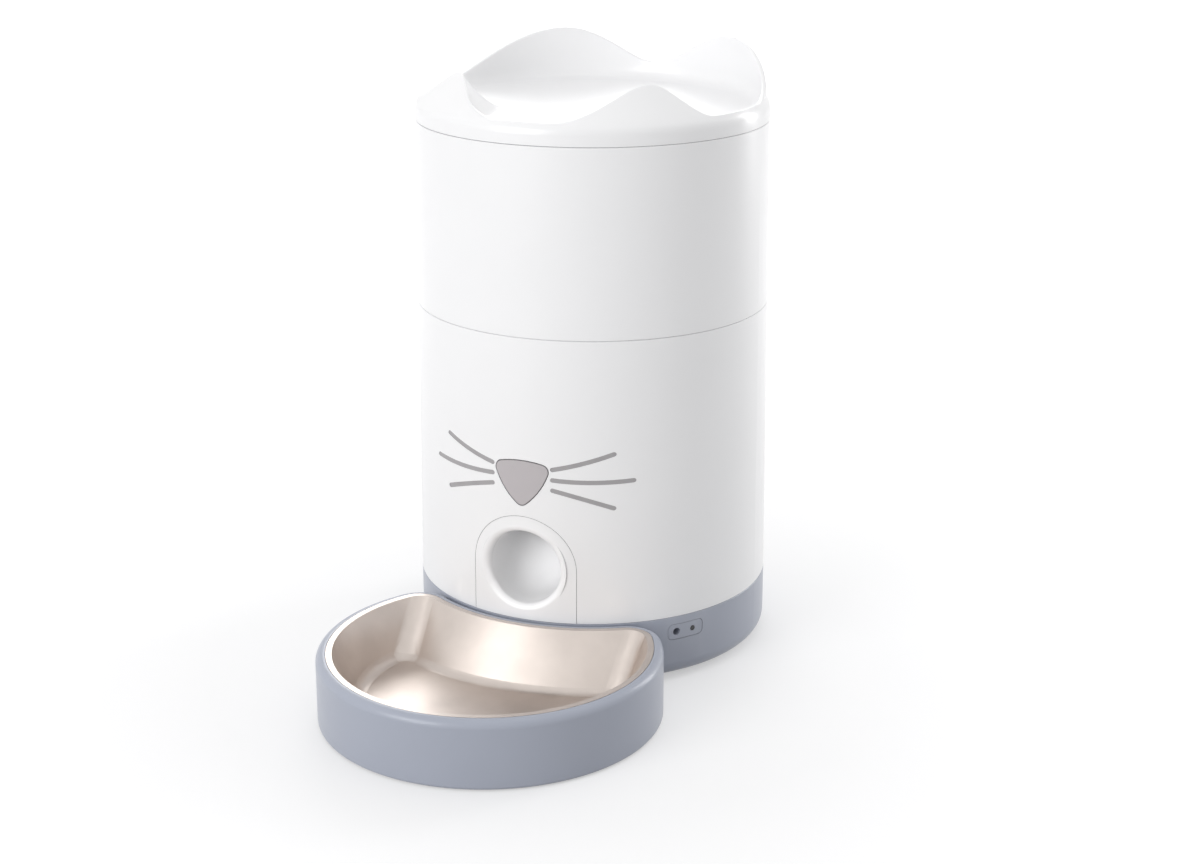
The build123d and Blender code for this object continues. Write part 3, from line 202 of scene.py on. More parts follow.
def add_roughness(tree, start, pattern, low, high):
    """Roughness that a pattern moves within its spread, as the pattern goes from low to high."""
    half = add_math(tree, "MULTIPLY", start.outputs["Roughness Spread"], 0.5)
    smooth = add_math(tree, "SUBTRACT", start.outputs["Roughness"], half)
    rough = add_math(tree, "ADD", start.outputs["Roughness"], half)
    return add_range(tree, pattern, low, high, smooth, rough)


# Shared shader groups

# Painted shade in crevices and in seams between parts: how far the occlusion looks, and its colour
CREVICE_SHADE_REACH = 1.2 * MM
CREVICE_SHADE_COLOUR = (0.3, 0.3, 0.33, 1.0)
SURFACE_OUTPUTS = (
    ("Color", "NodeSocketColor"),
    ("Roughness", "NodeSocketFloat"),
    ("Height", "NodeSocketFloat"),
)


def moulded_group():
    """Moulded plastic: fine grain, slow changes of gloss and tone, painted highlights on sharp edges and
    painted shade in crevices and seams.
    """
    name = "Moulded plastic"
    if name in bpy.data.node_groups:
        return bpy.data.node_groups[name]
    tree, start, end = node_group(
        name,
        (
            ("Vector", "NodeSocketVector", None),
            ("Color", "NodeSocketColor", None),
            ("Shade", "NodeSocketColor", None),
            ("Edge Color", "NodeSocketColor", None),
            ("Grain Scale", "NodeSocketFloat", 2600.0),
            ("Roughness", "NodeSocketFloat", 0.3),
            ("Roughness Spread", "NodeSocketFloat", 0.06),
            ("Edge", "NodeSocketFloat", 0.4),
            ("Crevice", "NodeSocketFloat", 0.0),
        ),
        SURFACE_OUTPUTS,
    )
    vector = start.outputs["Vector"]
    cloud = add_noise(tree, vector, 14.0, 4.0, 0.55)
    haze = add_noise(tree, vector, 90.0, 3.0, 0.6)
    grain = add_noise(tree, vector, start.outputs["Grain Scale"], 2.0)
    tone = add_range(tree, cloud, 0.35, 0.7, 0.0, 1.0)
    toned = add_mix(tree, tone, start.outputs["Color"], start.outputs["Shade"])
    geometry = tree.nodes.new("ShaderNodeNewGeometry")
    # Painted highlight: sharp edges, found by their pointiness, turn paler.
    painted_edge_highlight = add_range(tree, geometry.outputs["Pointiness"], 0.53, 0.6, 0.0, start.outputs["Edge"])
    edge_highlighted = add_mix(tree, painted_edge_highlight, toned, start.outputs["Edge Color"])
    # Painted shade: where occlusion finds near surfaces, as in seams and crevices, the colour turns dark.
    crevice = tree.nodes.new("ShaderNodeAmbientOcclusion")
    crevice.samples = 6
    crevice.inputs["Distance"].default_value = CREVICE_SHADE_REACH
    painted_crevice_shade = add_range(tree, crevice.outputs["AO"], 0.35, 0.85, start.outputs["Crevice"], 0.0)
    coloured = add_mix(tree, painted_crevice_shade, edge_highlighted, CREVICE_SHADE_COLOUR)
    tree.links.new(coloured, end.inputs["Color"])
    tree.links.new(add_roughness(tree, start, haze, 0.3, 0.7), end.inputs["Roughness"])
    tree.links.new(grain, end.inputs["Height"])
    return tree


def pressed_metal_group():
    """Pressed metal: fine circular lines about an upright axis, with cloudy tone and gloss."""
    name = "Pressed steel"
    if name in bpy.data.node_groups:
        return bpy.data.node_groups[name]
    tree, start, end = node_group(
        name,
        (
            ("Vector", "NodeSocketVector", None),
            ("Color", "NodeSocketColor", None),
            ("Shade", "NodeSocketColor", None),
            ("Line Scale", "NodeSocketFloat", 900.0),
            ("Roughness", "NodeSocketFloat", 0.25),
            ("Roughness Spread", "NodeSocketFloat", 0.1),
        ),
        SURFACE_OUTPUTS,
    )
    split = tree.nodes.new("ShaderNodeSeparateXYZ")
    tree.links.new(start.outputs["Vector"], split.inputs["Vector"])
    across = add_math(tree, "MULTIPLY", split.outputs["X"], split.outputs["X"])
    along = add_math(tree, "MULTIPLY", split.outputs["Y"], split.outputs["Y"])
    away = add_math(tree, "POWER", add_math(tree, "ADD", across, along), 0.5)
    join = tree.nodes.new("ShaderNodeCombineXYZ")
    tree.links.new(away, join.inputs["X"])
    tree.links.new(add_math(tree, "MULTIPLY", split.outputs["Z"], 0.6), join.inputs["Y"])
    lines = add_noise(tree, join.outputs["Vector"], start.outputs["Line Scale"], 3.0, 0.7)
    cloud = add_noise(tree, start.outputs["Vector"], 35.0, 3.0, 0.5)
    tone = add_range(tree, cloud, 0.35, 0.65, 0.0, 1.0)
    toned = add_mix(tree, tone, start.outputs["Color"], start.outputs["Shade"])
    tree.links.new(toned, end.inputs["Color"])
    tree.links.new(add_roughness(tree, start, lines, 0.25, 0.75), end.inputs["Roughness"])
    tree.links.new(lines, end.inputs["Height"])
    return tree


def gap_shade_group():
    """Painted shade along the sharp edges of a piece, for the shadow in the gap round it, found from its
    rounded normal.
    """
    name = "Dark rim"
    if name in bpy.data.node_groups:
        return bpy.data.node_groups[name]
    tree, start, end = node_group(
        name,
        (
            ("Color", "NodeSocketColor", None),
            ("Rim Color", "NodeSocketColor", None),
            ("Width", "NodeSocketFloat", 0.0008),
        ),
        (("Color", "NodeSocketColor"),),
    )
    rounded = tree.nodes.new("ShaderNodeBevel")
    rounded.samples = 8
    tree.links.new(start.outputs["Width"], rounded.inputs["Radius"])
    geometry = tree.nodes.new("ShaderNodeNewGeometry")
    product = tree.nodes.new("ShaderNodeVectorMath")
    product.operation = "DOT_PRODUCT"
    tree.links.new(rounded.outputs["Normal"], product.inputs[0])
    tree.links.new(geometry.outputs["Normal"], product.inputs[1])
    edge = add_range(tree, product.outputs["Value"], 0.85, 0.99, 1.0, 0.0)
    coloured = add_mix(tree, edge, start.outputs["Color"], start.outputs["Rim Color"])
    tree.links.new(coloured, end.inputs["Color"])
    return tree


# Finishes

GRAIN_DEPTH = 0.1 * MM
LINE_DEPTH = 0.05 * MM
COAT_ROUGHNESS = 0.08
# Share of the way to white of the painted edge highlight
EDGE_HIGHLIGHT_SHARE = 0.35
METAL_SHADE = 0.9
# Painted shade along the nose's rim, for the shadow in its gap: its darkness and its width
NOSE_RIM_SHADE_SHARE = 0.3
NOSE_RIM_SHADE_WIDTH = 1.2 * MM

# Slots whose colour a user sets
OWN_COLOURS = {
    "white_gloss": "casing",
    "grey_satin": "base",
    "nose_grey": "nose",
    "whisker_grey": "whiskers",
    "dish_steel": "steel",
}

# Screen colours of the other slots
SLOT_COLOURS = {
    "tank_plastic": (240, 240, 241),
    "drum_plastic": (205, 207, 212),
    "rotor_plastic": (120, 130, 146),
    "soft_grey": (62, 62, 66),
    "silicone": (222, 222, 222),
    "board_green": (34, 96, 58),
    "black_plastic": (38, 38, 41),
    "button_dark": (30, 30, 33),
    "capacitor_can": (52, 58, 78),
    "lamp_lens": (246, 240, 214),
    "gear_nylon": (236, 233, 222),
    "screw_zinc": (205, 207, 212),
    "contact_nickel": (214, 210, 200),
    "radio_tin": (200, 200, 202),
    "shaft_steel": (198, 199, 204),
    "bush_bronze": (176, 132, 92),
    "pinion_brass": (214, 178, 104),
    "motor_can": (196, 198, 203),
}

# Plastic finishes. The edge share sets a painted highlight on sharp edges, and the crevice share sets
# painted shade in crevices and seams.
PLASTICS = {
    "white_gloss": dict(
        roughness=0.3, grain=350.0, depth=0.004, edge=0.0, coat=0.3, spread=0.04, tone=0.985, crevice=0.9
    ),
    "grey_satin": dict(roughness=0.3, depth=0.03, edge=0.12, spread=0.05),
    "nose_grey": dict(roughness=0.36, depth=0.03, edge=0.0),
    "whisker_grey": dict(roughness=0.45, depth=0.03),
    "tank_plastic": dict(roughness=0.34, depth=0.03),
    "drum_plastic": dict(roughness=0.45, depth=0.08),
    "rotor_plastic": dict(roughness=0.5, depth=0.08),
    "soft_grey": dict(roughness=0.75, depth=0.15, grain=1500.0),
    "silicone": dict(roughness=0.55, depth=0.05),
    "board_green": dict(roughness=0.32, grain=900.0, depth=0.1, edge=0.0, tone=0.7),
    "black_plastic": dict(roughness=0.5, depth=0.12, grain=1800.0),
    "button_dark": dict(roughness=0.4, depth=0.06),
    "capacitor_can": dict(roughness=0.3, depth=0.03),
    "lamp_lens": dict(roughness=0.2, depth=0.01, edge=0.0),
    "gear_nylon": dict(roughness=0.42, depth=0.05),
}

METALS = {
    "dish_steel": dict(roughness=0.37, lines=700.0, depth=0.02, spread=0.05, centre_y=DISH_ARC_Y),
    "screw_zinc": dict(roughness=0.3, lines=3000.0),
    "contact_nickel": dict(roughness=0.2, lines=2500.0),
    "radio_tin": dict(roughness=0.35, lines=1800.0),
    "shaft_steel": dict(roughness=0.22, lines=2500.0),
    "bush_bronze": dict(roughness=0.45, lines=2000.0, depth=0.1),
    "pinion_brass": dict(roughness=0.25, lines=2200.0),
    "motor_can": dict(roughness=0.3, lines=1500.0),
}


def new_material(name, group):
    """Material with one shared group, fed by Object coordinates, and a Principled BSDF."""
    made = bpy.data.materials.new(name)
    made.use_nodes = True
    tree = made.node_tree
    shader = tree.nodes["Principled BSDF"]
    place = tree.nodes.new("ShaderNodeTexCoord")
    mapping = tree.nodes.new("ShaderNodeMapping")
    effect = tree.nodes.new("ShaderNodeGroup")
    effect.node_tree = group
    bump = tree.nodes.new("ShaderNodeBump")
    tree.links.new(place.outputs["Object"], mapping.inputs["Vector"])
    tree.links.new(mapping.outputs["Vector"], effect.inputs["Vector"])
    tree.links.new(effect.outputs["Color"], shader.inputs["Base Color"])
    tree.links.new(effect.outputs["Roughness"], shader.inputs["Roughness"])
    tree.links.new(effect.outputs["Height"], bump.inputs["Height"])
    tree.links.new(bump.outputs["Normal"], shader.inputs["Normal"])
    return made, shader, effect, bump, mapping


def plastic(
    name, colour, roughness,
    grain=2600.0, depth=0.02, edge=0.3, coat=0.0, spread=0.06, tone=0.97, crevice=0.5,
):
    """Moulded plastic or rubber, with a painted highlight on sharp edges and painted shade in crevices and
    seams.
    """
    made, shader, effect, bump, _ = new_material(name, moulded_group())
    effect.inputs["Color"].default_value = colour
    effect.inputs["Shade"].default_value = darker(colour, tone)
    # The edge colour is a painted highlight, paler than the plastic.
    effect.inputs["Edge Color"].default_value = lighter(colour, EDGE_HIGHLIGHT_SHARE)
    effect.inputs["Grain Scale"].default_value = grain
    effect.inputs["Roughness"].default_value = roughness
    effect.inputs["Roughness Spread"].default_value = spread
    effect.inputs["Edge"].default_value = edge
    effect.inputs["Crevice"].default_value = crevice
    bump.inputs["Strength"].default_value = depth
    bump.inputs["Distance"].default_value = GRAIN_DEPTH
    shader.inputs["Coat Weight"].default_value = coat
    shader.inputs["Coat Roughness"].default_value = COAT_ROUGHNESS
    return made


def metal(name, colour, roughness, lines, depth=0.05, spread=0.1, centre_y=0.0):
    """Steel, brass or aluminium, with its lines round an upright axis at `centre_y`."""
    made, shader, effect, bump, mapping = new_material(name, pressed_metal_group())
    mapping.inputs["Location"].default_value = (0.0, -centre_y, 0.0)
    effect.inputs["Color"].default_value = colour
    effect.inputs["Shade"].default_value = darker(colour, METAL_SHADE)
    effect.inputs["Line Scale"].default_value = lines
    effect.inputs["Roughness"].default_value = roughness
    effect.inputs["Roughness Spread"].default_value = spread
    bump.inputs["Strength"].default_value = depth
    bump.inputs["Distance"].default_value = LINE_DEPTH
    shader.inputs["Metallic"].default_value = 1.0
    return made


def add_rim_shade(made, colour, width):
    """Put the painted rim shade between a material's own colour and its shader."""
    tree = made.node_tree
    target = tree.nodes["Principled BSDF"].inputs["Base Color"]
    source = target.links[0].from_socket
    rim_shade = tree.nodes.new("ShaderNodeGroup")
    rim_shade.node_tree = gap_shade_group()
    rim_shade.inputs["Rim Color"].default_value = colour
    rim_shade.inputs["Width"].default_value = width
    tree.links.new(source, rim_shade.inputs["Color"])
    tree.links.new(rim_shade.outputs["Color"], target)


def finish_for(slot):
    """The material of a slot of the record, made at its first use."""
    name = f"{slot}_look"
    if name in bpy.data.materials:
        return bpy.data.materials[name]
    if slot in OWN_COLOURS:
        colour = tuple(getattr(colours(), OWN_COLOURS[slot]))
    else:
        colour = paint(*SLOT_COLOURS[slot])
    if slot in METALS:
        return metal(name, colour, **METALS[slot])
    made = plastic(name, colour, **PLASTICS[slot])
    # The nose gets painted shade along its rim, for the shadow in the gap round it.
    if slot == "nose_grey":
        add_rim_shade(made, darker(colour, NOSE_RIM_SHADE_SHARE), NOSE_RIM_SHADE_WIDTH)
    return made


def slot_of(node):
    """The record's material slot of a CAD node."""
    for row in frame["record"]["subparts"]:
        if row["node"] == node:
            return row["material_slot"]
    raise RuntimeError(f"no slot for {node}")


def finish_nodes(*nodes):
    """Give CAD nodes the materials of their slots."""
    for node in nodes:
        shape = frame["nodes"][node]
        shape.data.materials.clear()
        shape.data.materials.append(finish_for(slot_of(node)))


# Pieces that keep the shape of their solids


class FEEDER_OT_casing(bpy.types.Operator):
    """Glossy casing and its front panel"""

    bl_idname = "feeder.casing"
    bl_label = "Casing"

    def execute(self, context):
        finish_nodes("lower_shell", "upper_shell", "chute_cover")
        return {"FINISHED"}


class FEEDER_OT_base(bpy.types.Operator):
    """Satin base with what it carries outside and below"""

    bl_idname = "feeder.base"
    bl_label = "Base"

    def execute(self, context):
        finish_nodes("base_housing", "port_plate", "dc_jack", "reset_button")
        finish_nodes("rubber_feet", "base_screws", "battery_door", "battery_contacts")
        return {"FINISHED"}


class FEEDER_OT_face(bpy.types.Operator):
    """Nose shaped button and inlaid whiskers"""

    bl_idname = "feeder.face"
    bl_label = "Face"

    def execute(self, context):
        finish_nodes("nose_button", "whisker_inlays")
        return {"FINISHED"}


class FEEDER_OT_tray(bpy.types.Operator):
    """Feeding tray, its pads and the steel dish"""

    bl_idname = "feeder.tray"
    bl_label = "Tray and dish"

    def execute(self, context):
        finish_nodes("feeding_tray", "tray_pads", "steel_dish")
        return {"FINISHED"}


class FEEDER_OT_food_path(bpy.types.Operator):
    """Tank, drum, rotor and chute"""

    bl_idname = "feeder.food_path"
    bl_label = "Food path"

    def execute(self, context):
        finish_nodes("food_tank", "dispenser_drum", "drum_screws", "food_rotor")
        finish_nodes("food_chute", "drop_sensors")
        return {"FINISHED"}


class FEEDER_OT_boards(bpy.types.Operator):
    """Boards and what is soldered or screwed to them"""

    bl_idname = "feeder.boards"
    bl_label = "Boards"

    def execute(self, context):
        finish_nodes("main_board", "radio_module", "board_capacitors", "board_connectors")
        finish_nodes("buzzer", "board_screws", "port_board", "reset_switch")
        finish_nodes("nose_board", "nose_board_screws", "nose_switch", "nose_lamps")
        return {"FINISHED"}


class FEEDER_OT_drive(bpy.types.Operator):
    """Motor, gears, shafts and their case"""

    bl_idname = "feeder.drive"
    bl_label = "Drive"

    def execute(self, context):
        finish_nodes("gear_motor", "motor_shaft", "motor_pinion", "motor_screws")
        finish_nodes("compound_gear", "compound_pin", "output_gear", "output_shaft")
        finish_nodes("shaft_bush_lower", "shaft_bush_upper")
        finish_nodes("gearbox_case", "gearbox_cover", "gearbox_screws")
        return {"FINISHED"}


class FEEDER_OT_lid_parts(bpy.types.Operator):
    """Solid lid with its liner, seal and desiccant cup"""

    bl_idname = "feeder.lid_parts"
    bl_label = "Lid parts"

    def execute(self, context):
        finish_nodes("lid_shell", "lid_liner", "lid_seal", "liner_screws", "desiccant_cover")
        return {"FINISHED"}


def check_finishes():
    """Raise an error where a solid has been left out of the groups above."""
    for node, shape in frame["nodes"].items():
        if shape.data.materials[0].name != f"{slot_of(node)}_look":
            raise RuntimeError(f"{node} has no finish")


# Modelling helpers


def clear_selection():
    if bpy.context.mode != "OBJECT":
        bpy.ops.object.mode_set(mode="OBJECT")
    bpy.ops.object.select_all(action="DESELECT")


def select_only(piece):
    clear_selection()
    piece.select_set(True)
    bpy.context.view_layer.objects.active = piece


def close_up(piece):
    """Merge doubled vertices and turn all faces outwards."""
    select_only(piece)
    bpy.ops.object.mode_set(mode="EDIT")
    bpy.ops.mesh.select_all(action="SELECT")
    bpy.ops.mesh.remove_doubles(threshold=0.001 * MM)
    bpy.ops.mesh.normals_make_consistent(inside=False)
    bpy.ops.object.mode_set(mode="OBJECT")


def spin_section(name, section, steps):
    """Closed turned shape about the body's axis, from a section of (radius, height) points in metres."""
    clear_selection()
    bpy.ops.mesh.primitive_plane_add(size=10 * MM, location=(0, AXIS_Y, 0))
    piece = bpy.context.active_object
    piece.name = name
    piece.data.name = name
    bpy.ops.object.transform_apply(location=True, rotation=True, scale=True)
    bpy.ops.object.mode_set(mode="EDIT")
    bpy.ops.mesh.select_mode(type="VERT")
    bpy.ops.mesh.select_all(action="SELECT")
    bpy.ops.mesh.merge(type="CENTER")
    radius, height = section[0]
    bpy.ops.transform.translate(value=(radius, 0, height))
    for next_radius, next_height in section[1:]:
        step = (next_radius - radius, 0, next_height - height)
        bpy.ops.mesh.extrude_region_move(TRANSFORM_OT_translate={"value": step})
        radius, height = next_radius, next_height
    bpy.ops.mesh.select_all(action="SELECT")
    bpy.ops.mesh.spin(steps=steps, angle=2 * pi, center=(0, AXIS_Y, 0), axis=(0, 0, 1))
    bpy.ops.object.mode_set(mode="OBJECT")
    close_up(piece)
    return piece


def dress(piece, slot, body, *nodes, angle):
    """Finish a piece: smooth shading, its material, its body and the nodes that it stands for."""
    select_only(piece)
    bpy.ops.object.shade_smooth_by_angle(angle=radians(angle))
    piece.data.materials.clear()
    piece.data.materials.append(finish_for(slot))
    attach(piece, body)
    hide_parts(*nodes)
    clear_selection()


# Lid. Its section is in millimetres from the axis and above the lid's seam, and its angles are in
# degrees from the front towards the right.

LID_SEAM = lid_low.z
LID_FOOT = (lid_high.x - lid_low.x) / 2 / MM
LID_STEPS = 288
LID_WALL = 2.8
LID_WALL_TOP = 2.2
LID_UNDERSIDE = 4.4
LID_FLOOR = 7.0
SEAM_CHAMFER = 0.4
SHOULDER_RADIUS = 9.0
COVE_RADIUS = 9.0

EAR_ANGLE = 147.0
EAR_HEIGHT = 25.7
EAR_REACH_SIDE = 56.0
EAR_REACH_BACK = 42.0

BROW_ANGLE = 46.0
BROW_HEIGHT = 17.3
BROW_REACH_FRONT = 37.5
BROW_REACH_SIDE = 19.5
BROW_LEAN = 1.1
BROW_WALL_TOP = 0.8

# The rim is where the shoulder's arc has turned as far as the brows lean.
RIM_LEVEL = 12.2
RIM_TURN = atan(BROW_LEAN)
RIM_RADIUS = LID_FOOT - SHOULDER_RADIUS * (1 - cos(RIM_TURN))

# Slopes of the inner face, in degrees below level: at the plain rim, the ears and the brows
RIM_FALL = 65.0
EAR_FALL = 90.0
BROW_FALL = 55.0

# Rounding of the ridge, on an ear and on a brow
EAR_ROUNDING = 1.2
BROW_ROUNDING = 3.6

# Width of the cove at a low and at a full brow, as shares of its radius
COVE_LOW = 0.9
COVE_FULL = 1.5

# Heights at which an ear or a brow has fully taken on its own form
EAR_FALL_HEIGHT = 4.0
EAR_FOOT_HEIGHT = 6.0
BROW_RIDGE_HEIGHT = 6.0
BROW_ROUNDING_HEIGHT = 8.0
BROW_COVE_HEIGHT = 10.0

# Height above the rim of the outer face's soft foot, as shares of the waves and up to a limit
EAR_FOOT_SHARE = 0.5
BROW_FOOT_SHARE = 0.3
FOOT_LIMIT = 4.0

# The shoulder stays round over this share of its turn, and bends into the outer face over the rest.
SHOULDER_ROUND_SHARE = 0.62
SHORTEST_FACE = 0.05

# Handles of the cove's curve, as shares of its drop and of its width. The first one leaves DROP_LEFT.
COVE_WALL_PULL = 0.75
COVE_FLOOR_PULL = 0.55
DROP_LEFT = 0.2

# Numbers of steps along the parts of the section, and where the floor has its points
SHOULDER_STEPS = 5
FOOT_STEPS = 4
FACE_STEPS = 8
RIDGE_STEPS = 4
WALL_STEPS = 4
COVE_STEPS = 10
FLOOR_SHARES = (0.85, 0.6, 0.3, 0.0)


def swell(away, height, inner, outer):
    """Smooth hump with its own reach on each side of its peak."""
    reach = inner if away < 0 else outer
    if abs(away) >= reach:
        return 0.0
    return height * (1 + cos(pi * away / reach)) / 2


def ear_wave(angle):
    """Height of the thin rear wall above the rim."""
    turn = angle % 360
    right = swell(turn - EAR_ANGLE, EAR_HEIGHT, EAR_REACH_SIDE, EAR_REACH_BACK)
    return right + swell(turn - 360 + EAR_ANGLE, EAR_HEIGHT, EAR_REACH_BACK, EAR_REACH_SIDE)


def brow_wave(angle):
    """Height of the two humps that lean back at the front."""
    turn = abs((angle + 180) % 360 - 180)
    return swell(turn - BROW_ANGLE, BROW_HEIGHT, BROW_REACH_FRONT, BROW_REACH_SIDE)


def share_of(value, full):
    """How far a value is on its way to a full one, at most 1."""
    return min(1.0, value / full)


def between(first, second, share):
    return first + (second - first) * share


def bend(points, count):
    """Points along a Bezier curve, or a line where it has two points, without the first one."""
    made = []
    for step in range(1, count + 1):
        share = step / count
        line = list(points)
        while len(line) > 1:
            line = [
                tuple(between(a, b, share) for a, b in zip(first, second))
                for first, second in zip(line, line[1:])
            ]
        made.append(line[0])
    return made


def lid_skirt():
    """Underside, seam edge, skirt and the round part of the shoulder, which are the same all round."""
    inner = LID_FOOT - LID_WALL
    low = RIM_LEVEL - SHOULDER_RADIUS * sin(RIM_TURN)
    points = [
        (0.0, LID_UNDERSIDE),
        (inner / 2, LID_UNDERSIDE),
        (inner, LID_UNDERSIDE),
        (inner, SEAM_CHAMFER),
        (inner + SEAM_CHAMFER, 0.0),
        (LID_FOOT - SEAM_CHAMFER, 0.0),
        (LID_FOOT, SEAM_CHAMFER),
        (LID_FOOT, low),
    ]
    for step in range(1, SHOULDER_STEPS + 1):
        turn = RIM_TURN * SHOULDER_ROUND_SHARE * step / SHOULDER_STEPS
        points.append((LID_FOOT - SHOULDER_RADIUS * (1 - cos(turn)), low + SHOULDER_RADIUS * sin(turn)))
    return points


def outer_face(shoulder_end, peak, ear, brow, rounding):
    """Soft foot above the shoulder, and the straight face up to the rounding below the ridge."""
    lean = BROW_LEAN if brow else 0.0
    foot = min(FOOT_LIMIT, ear * EAR_FOOT_SHARE + brow * BROW_FOOT_SHARE)
    start = Vector((RIM_RADIUS - lean * foot, RIM_LEVEL + foot))
    slope = Vector((-lean, 1.0)).normalized()
    end = peak - slope * rounding
    if (end - start).dot(slope) < SHORTEST_FACE:
        end = start + slope * SHORTEST_FACE
    points = bend((shoulder_end, (RIM_RADIUS, RIM_LEVEL), start), FOOT_STEPS)
    return points + bend((start, end), FACE_STEPS)


def inner_fall(ear, brow):
    """Angle below level at which the inner face falls."""
    if ear:
        return radians(between(RIM_FALL, EAR_FALL, share_of(ear, EAR_FALL_HEIGHT)))
    return radians(between(RIM_FALL, BROW_FALL, share_of(brow, BROW_RIDGE_HEIGHT)))


def inner_face(start, down, ear, brow):
    """Inner face of an ear or a brow, the cove below it and the floor up to the axis."""
    foot = start
    corner = Vector((RIM_RADIUS - LID_WALL, LID_FLOOR + COVE_RADIUS))
    if ear and start.y > corner.y:
        foot = start.lerp(corner, share_of(ear, EAR_FOOT_HEIGHT))
    drop = foot.y - LID_FLOOR
    cove = COVE_RADIUS * between(COVE_LOW, COVE_FULL, share_of(brow, BROW_COVE_HEIGHT))
    edge = Vector((foot.x + drop * down.x / -down.y - cove, LID_FLOOR))
    wall_pull = foot + down * min(drop * COVE_WALL_PULL, drop - DROP_LEFT)
    floor_pull = edge + Vector((cove * COVE_FLOOR_PULL, 0.0))
    points = bend((start, foot), WALL_STEPS)
    points += bend((foot, wall_pull, floor_pull, edge), COVE_STEPS)
    return points + [(edge.x * share, LID_FLOOR) for share in FLOOR_SHARES]


def lid_section(angle):
    """Section of the lid at an angle, from the axis below round to the axis above."""
    ear = ear_wave(angle)
    brow = brow_wave(angle)
    rounding = between(EAR_ROUNDING, BROW_ROUNDING, share_of(brow, BROW_ROUNDING_HEIGHT))
    wall = between(LID_WALL, LID_WALL_TOP, share_of(ear, EAR_HEIGHT))
    width = between(wall, BROW_WALL_TOP, share_of(brow, BROW_RIDGE_HEIGHT))
    fall = inner_fall(ear, brow)
    down = Vector((-cos(fall), -sin(fall)))

    peak = Vector((RIM_RADIUS - BROW_LEAN * brow, RIM_LEVEL + ear + brow))
    inner_peak = peak - Vector((width, 0.0))
    middle = (peak + inner_peak) / 2
    inner_start = inner_peak + down * rounding

    points = lid_skirt()
    points += outer_face(points[-1], peak, ear, brow, rounding)
    points += bend((points[-1], peak, middle), RIDGE_STEPS)
    points += bend((middle, inner_peak, inner_start), RIDGE_STEPS)
    return points + inner_face(inner_start, down, ear, brow)


# A turned blank has one ring of vertices for each point of the lid's section, stacked upwards.
BLANK_RADIUS = 50 * MM
BLANK_FOOT = 300 * MM
BLANK_STEP = 0.1 * MM


def lid_blank(name, count):
    """Turned blank with its rings BLANK_STEP apart, and both ends on the axis."""
    section = [(BLANK_RADIUS, BLANK_FOOT + BLANK_STEP * index) for index in range(count)]
    section[0] = (0.0, section[0][1])
    section[-1] = (0.0, section[-1][1])
    return spin_section(name, section, LID_STEPS)


class FEEDER_OT_lid(bpy.types.Operator):
    """Lid with a round shoulder, two leaning humps and a thin rear wall with two ears"""

    bl_idname = "feeder.lid"
    bl_label = "Lid"

    def execute(self, context):
        step_angle = 360 / LID_STEPS
        sections = [lid_section(step * step_angle) for step in range(LID_STEPS)]
        piece = lid_blank("lid", len(sections[0]))
        # The section changes all the way round, which no turning gives, so each vertex is put in its place.
        for vertex in piece.data.vertices:
            ring = round((vertex.co.z - BLANK_FOOT) / BLANK_STEP)
            turn = atan2(vertex.co.x, AXIS_Y - vertex.co.y)
            step = round(degrees(turn) / step_angle) % LID_STEPS
            radius, height = sections[step][ring]
            away = Vector((sin(turn), -cos(turn), 0.0)) * radius * MM
            vertex.co = away + Vector((0.0, AXIS_Y, LID_SEAM + height * MM))
        close_up(piece)
        dress(piece, "white_gloss", "lid", "lid_shell", angle=40)
        return {"FINISHED"}


# Stage

WORLD_FRONT = 0.58
WORLD_BACK = 1.0
FLOOR_SIZE = 12
FLOOR_COLOUR = (0.5, 0.5, 0.505, 1.0)
# Painted glow of the floor near the object and far from it, and the distances over which it grows
FLOOR_NEAR = 0.45
FLOOR_FAR = 0.75
FLOOR_NEAR_DISTANCE = 0.2
FLOOR_FAR_DISTANCE = 0.9
BODY_MIDDLE = (0.0, 0.02, 0.17)
TRAY_FRONT = (0.0, 0.0, 0.1)
DISH_MIDDLE = (-0.05, -0.05, 0.03)
MOUTH_MIDDLE = (-0.001, -0.02, 0.066)

# Name, place, aimed at, width, height, power and whether mirroring surfaces show it
LAMPS = (
    ("key_lamp", (-0.95, -2.0, 0.95), BODY_MIDDLE, 1.3, 1.3, 23, True),
    ("front_lamp", (-0.1, -2.1, 0.4), TRAY_FRONT, 0.6, 0.5, 3, False),
    ("rim_lamp", (1.3, 1.75, 0.5), BODY_MIDDLE, 0.5, 1.6, 15, True),
    ("back_lamp", (-0.85, 1.76, 1.1), DISH_MIDDLE, 1.0, 0.7, 7, True),
    ("top_lamp", (0.1, -0.1, 1.9), BODY_MIDDLE, 1.2, 1.2, 3, False),
)
MOUTH_LAMP_PLACE = (0.1, -1.15, 0.42)
CAMERA_TURN = radians(-0.19)


def link_new(name, data):
    """New object in the scene, for a lamp or the camera."""
    made = bpy.data.objects.new(name, data)
    bpy.context.scene.collection.objects.link(made)
    return made


def aim(shape, target):
    """Turn a lamp towards a point."""
    shape.rotation_euler = (Vector(target) - shape.location).to_track_quat("-Z", "Y").to_euler()


def add_lamp(name, place, target, width, height, power, mirrored):
    """Rectangular soft lamp aimed at a point."""
    light = bpy.data.lights.new(name, "AREA")
    light.shape = "RECTANGLE"
    light.size = width
    light.size_y = height
    light.energy = power
    lamp = link_new(name, light)
    lamp.location = place
    lamp.visible_glossy = mirrored
    aim(lamp, target)


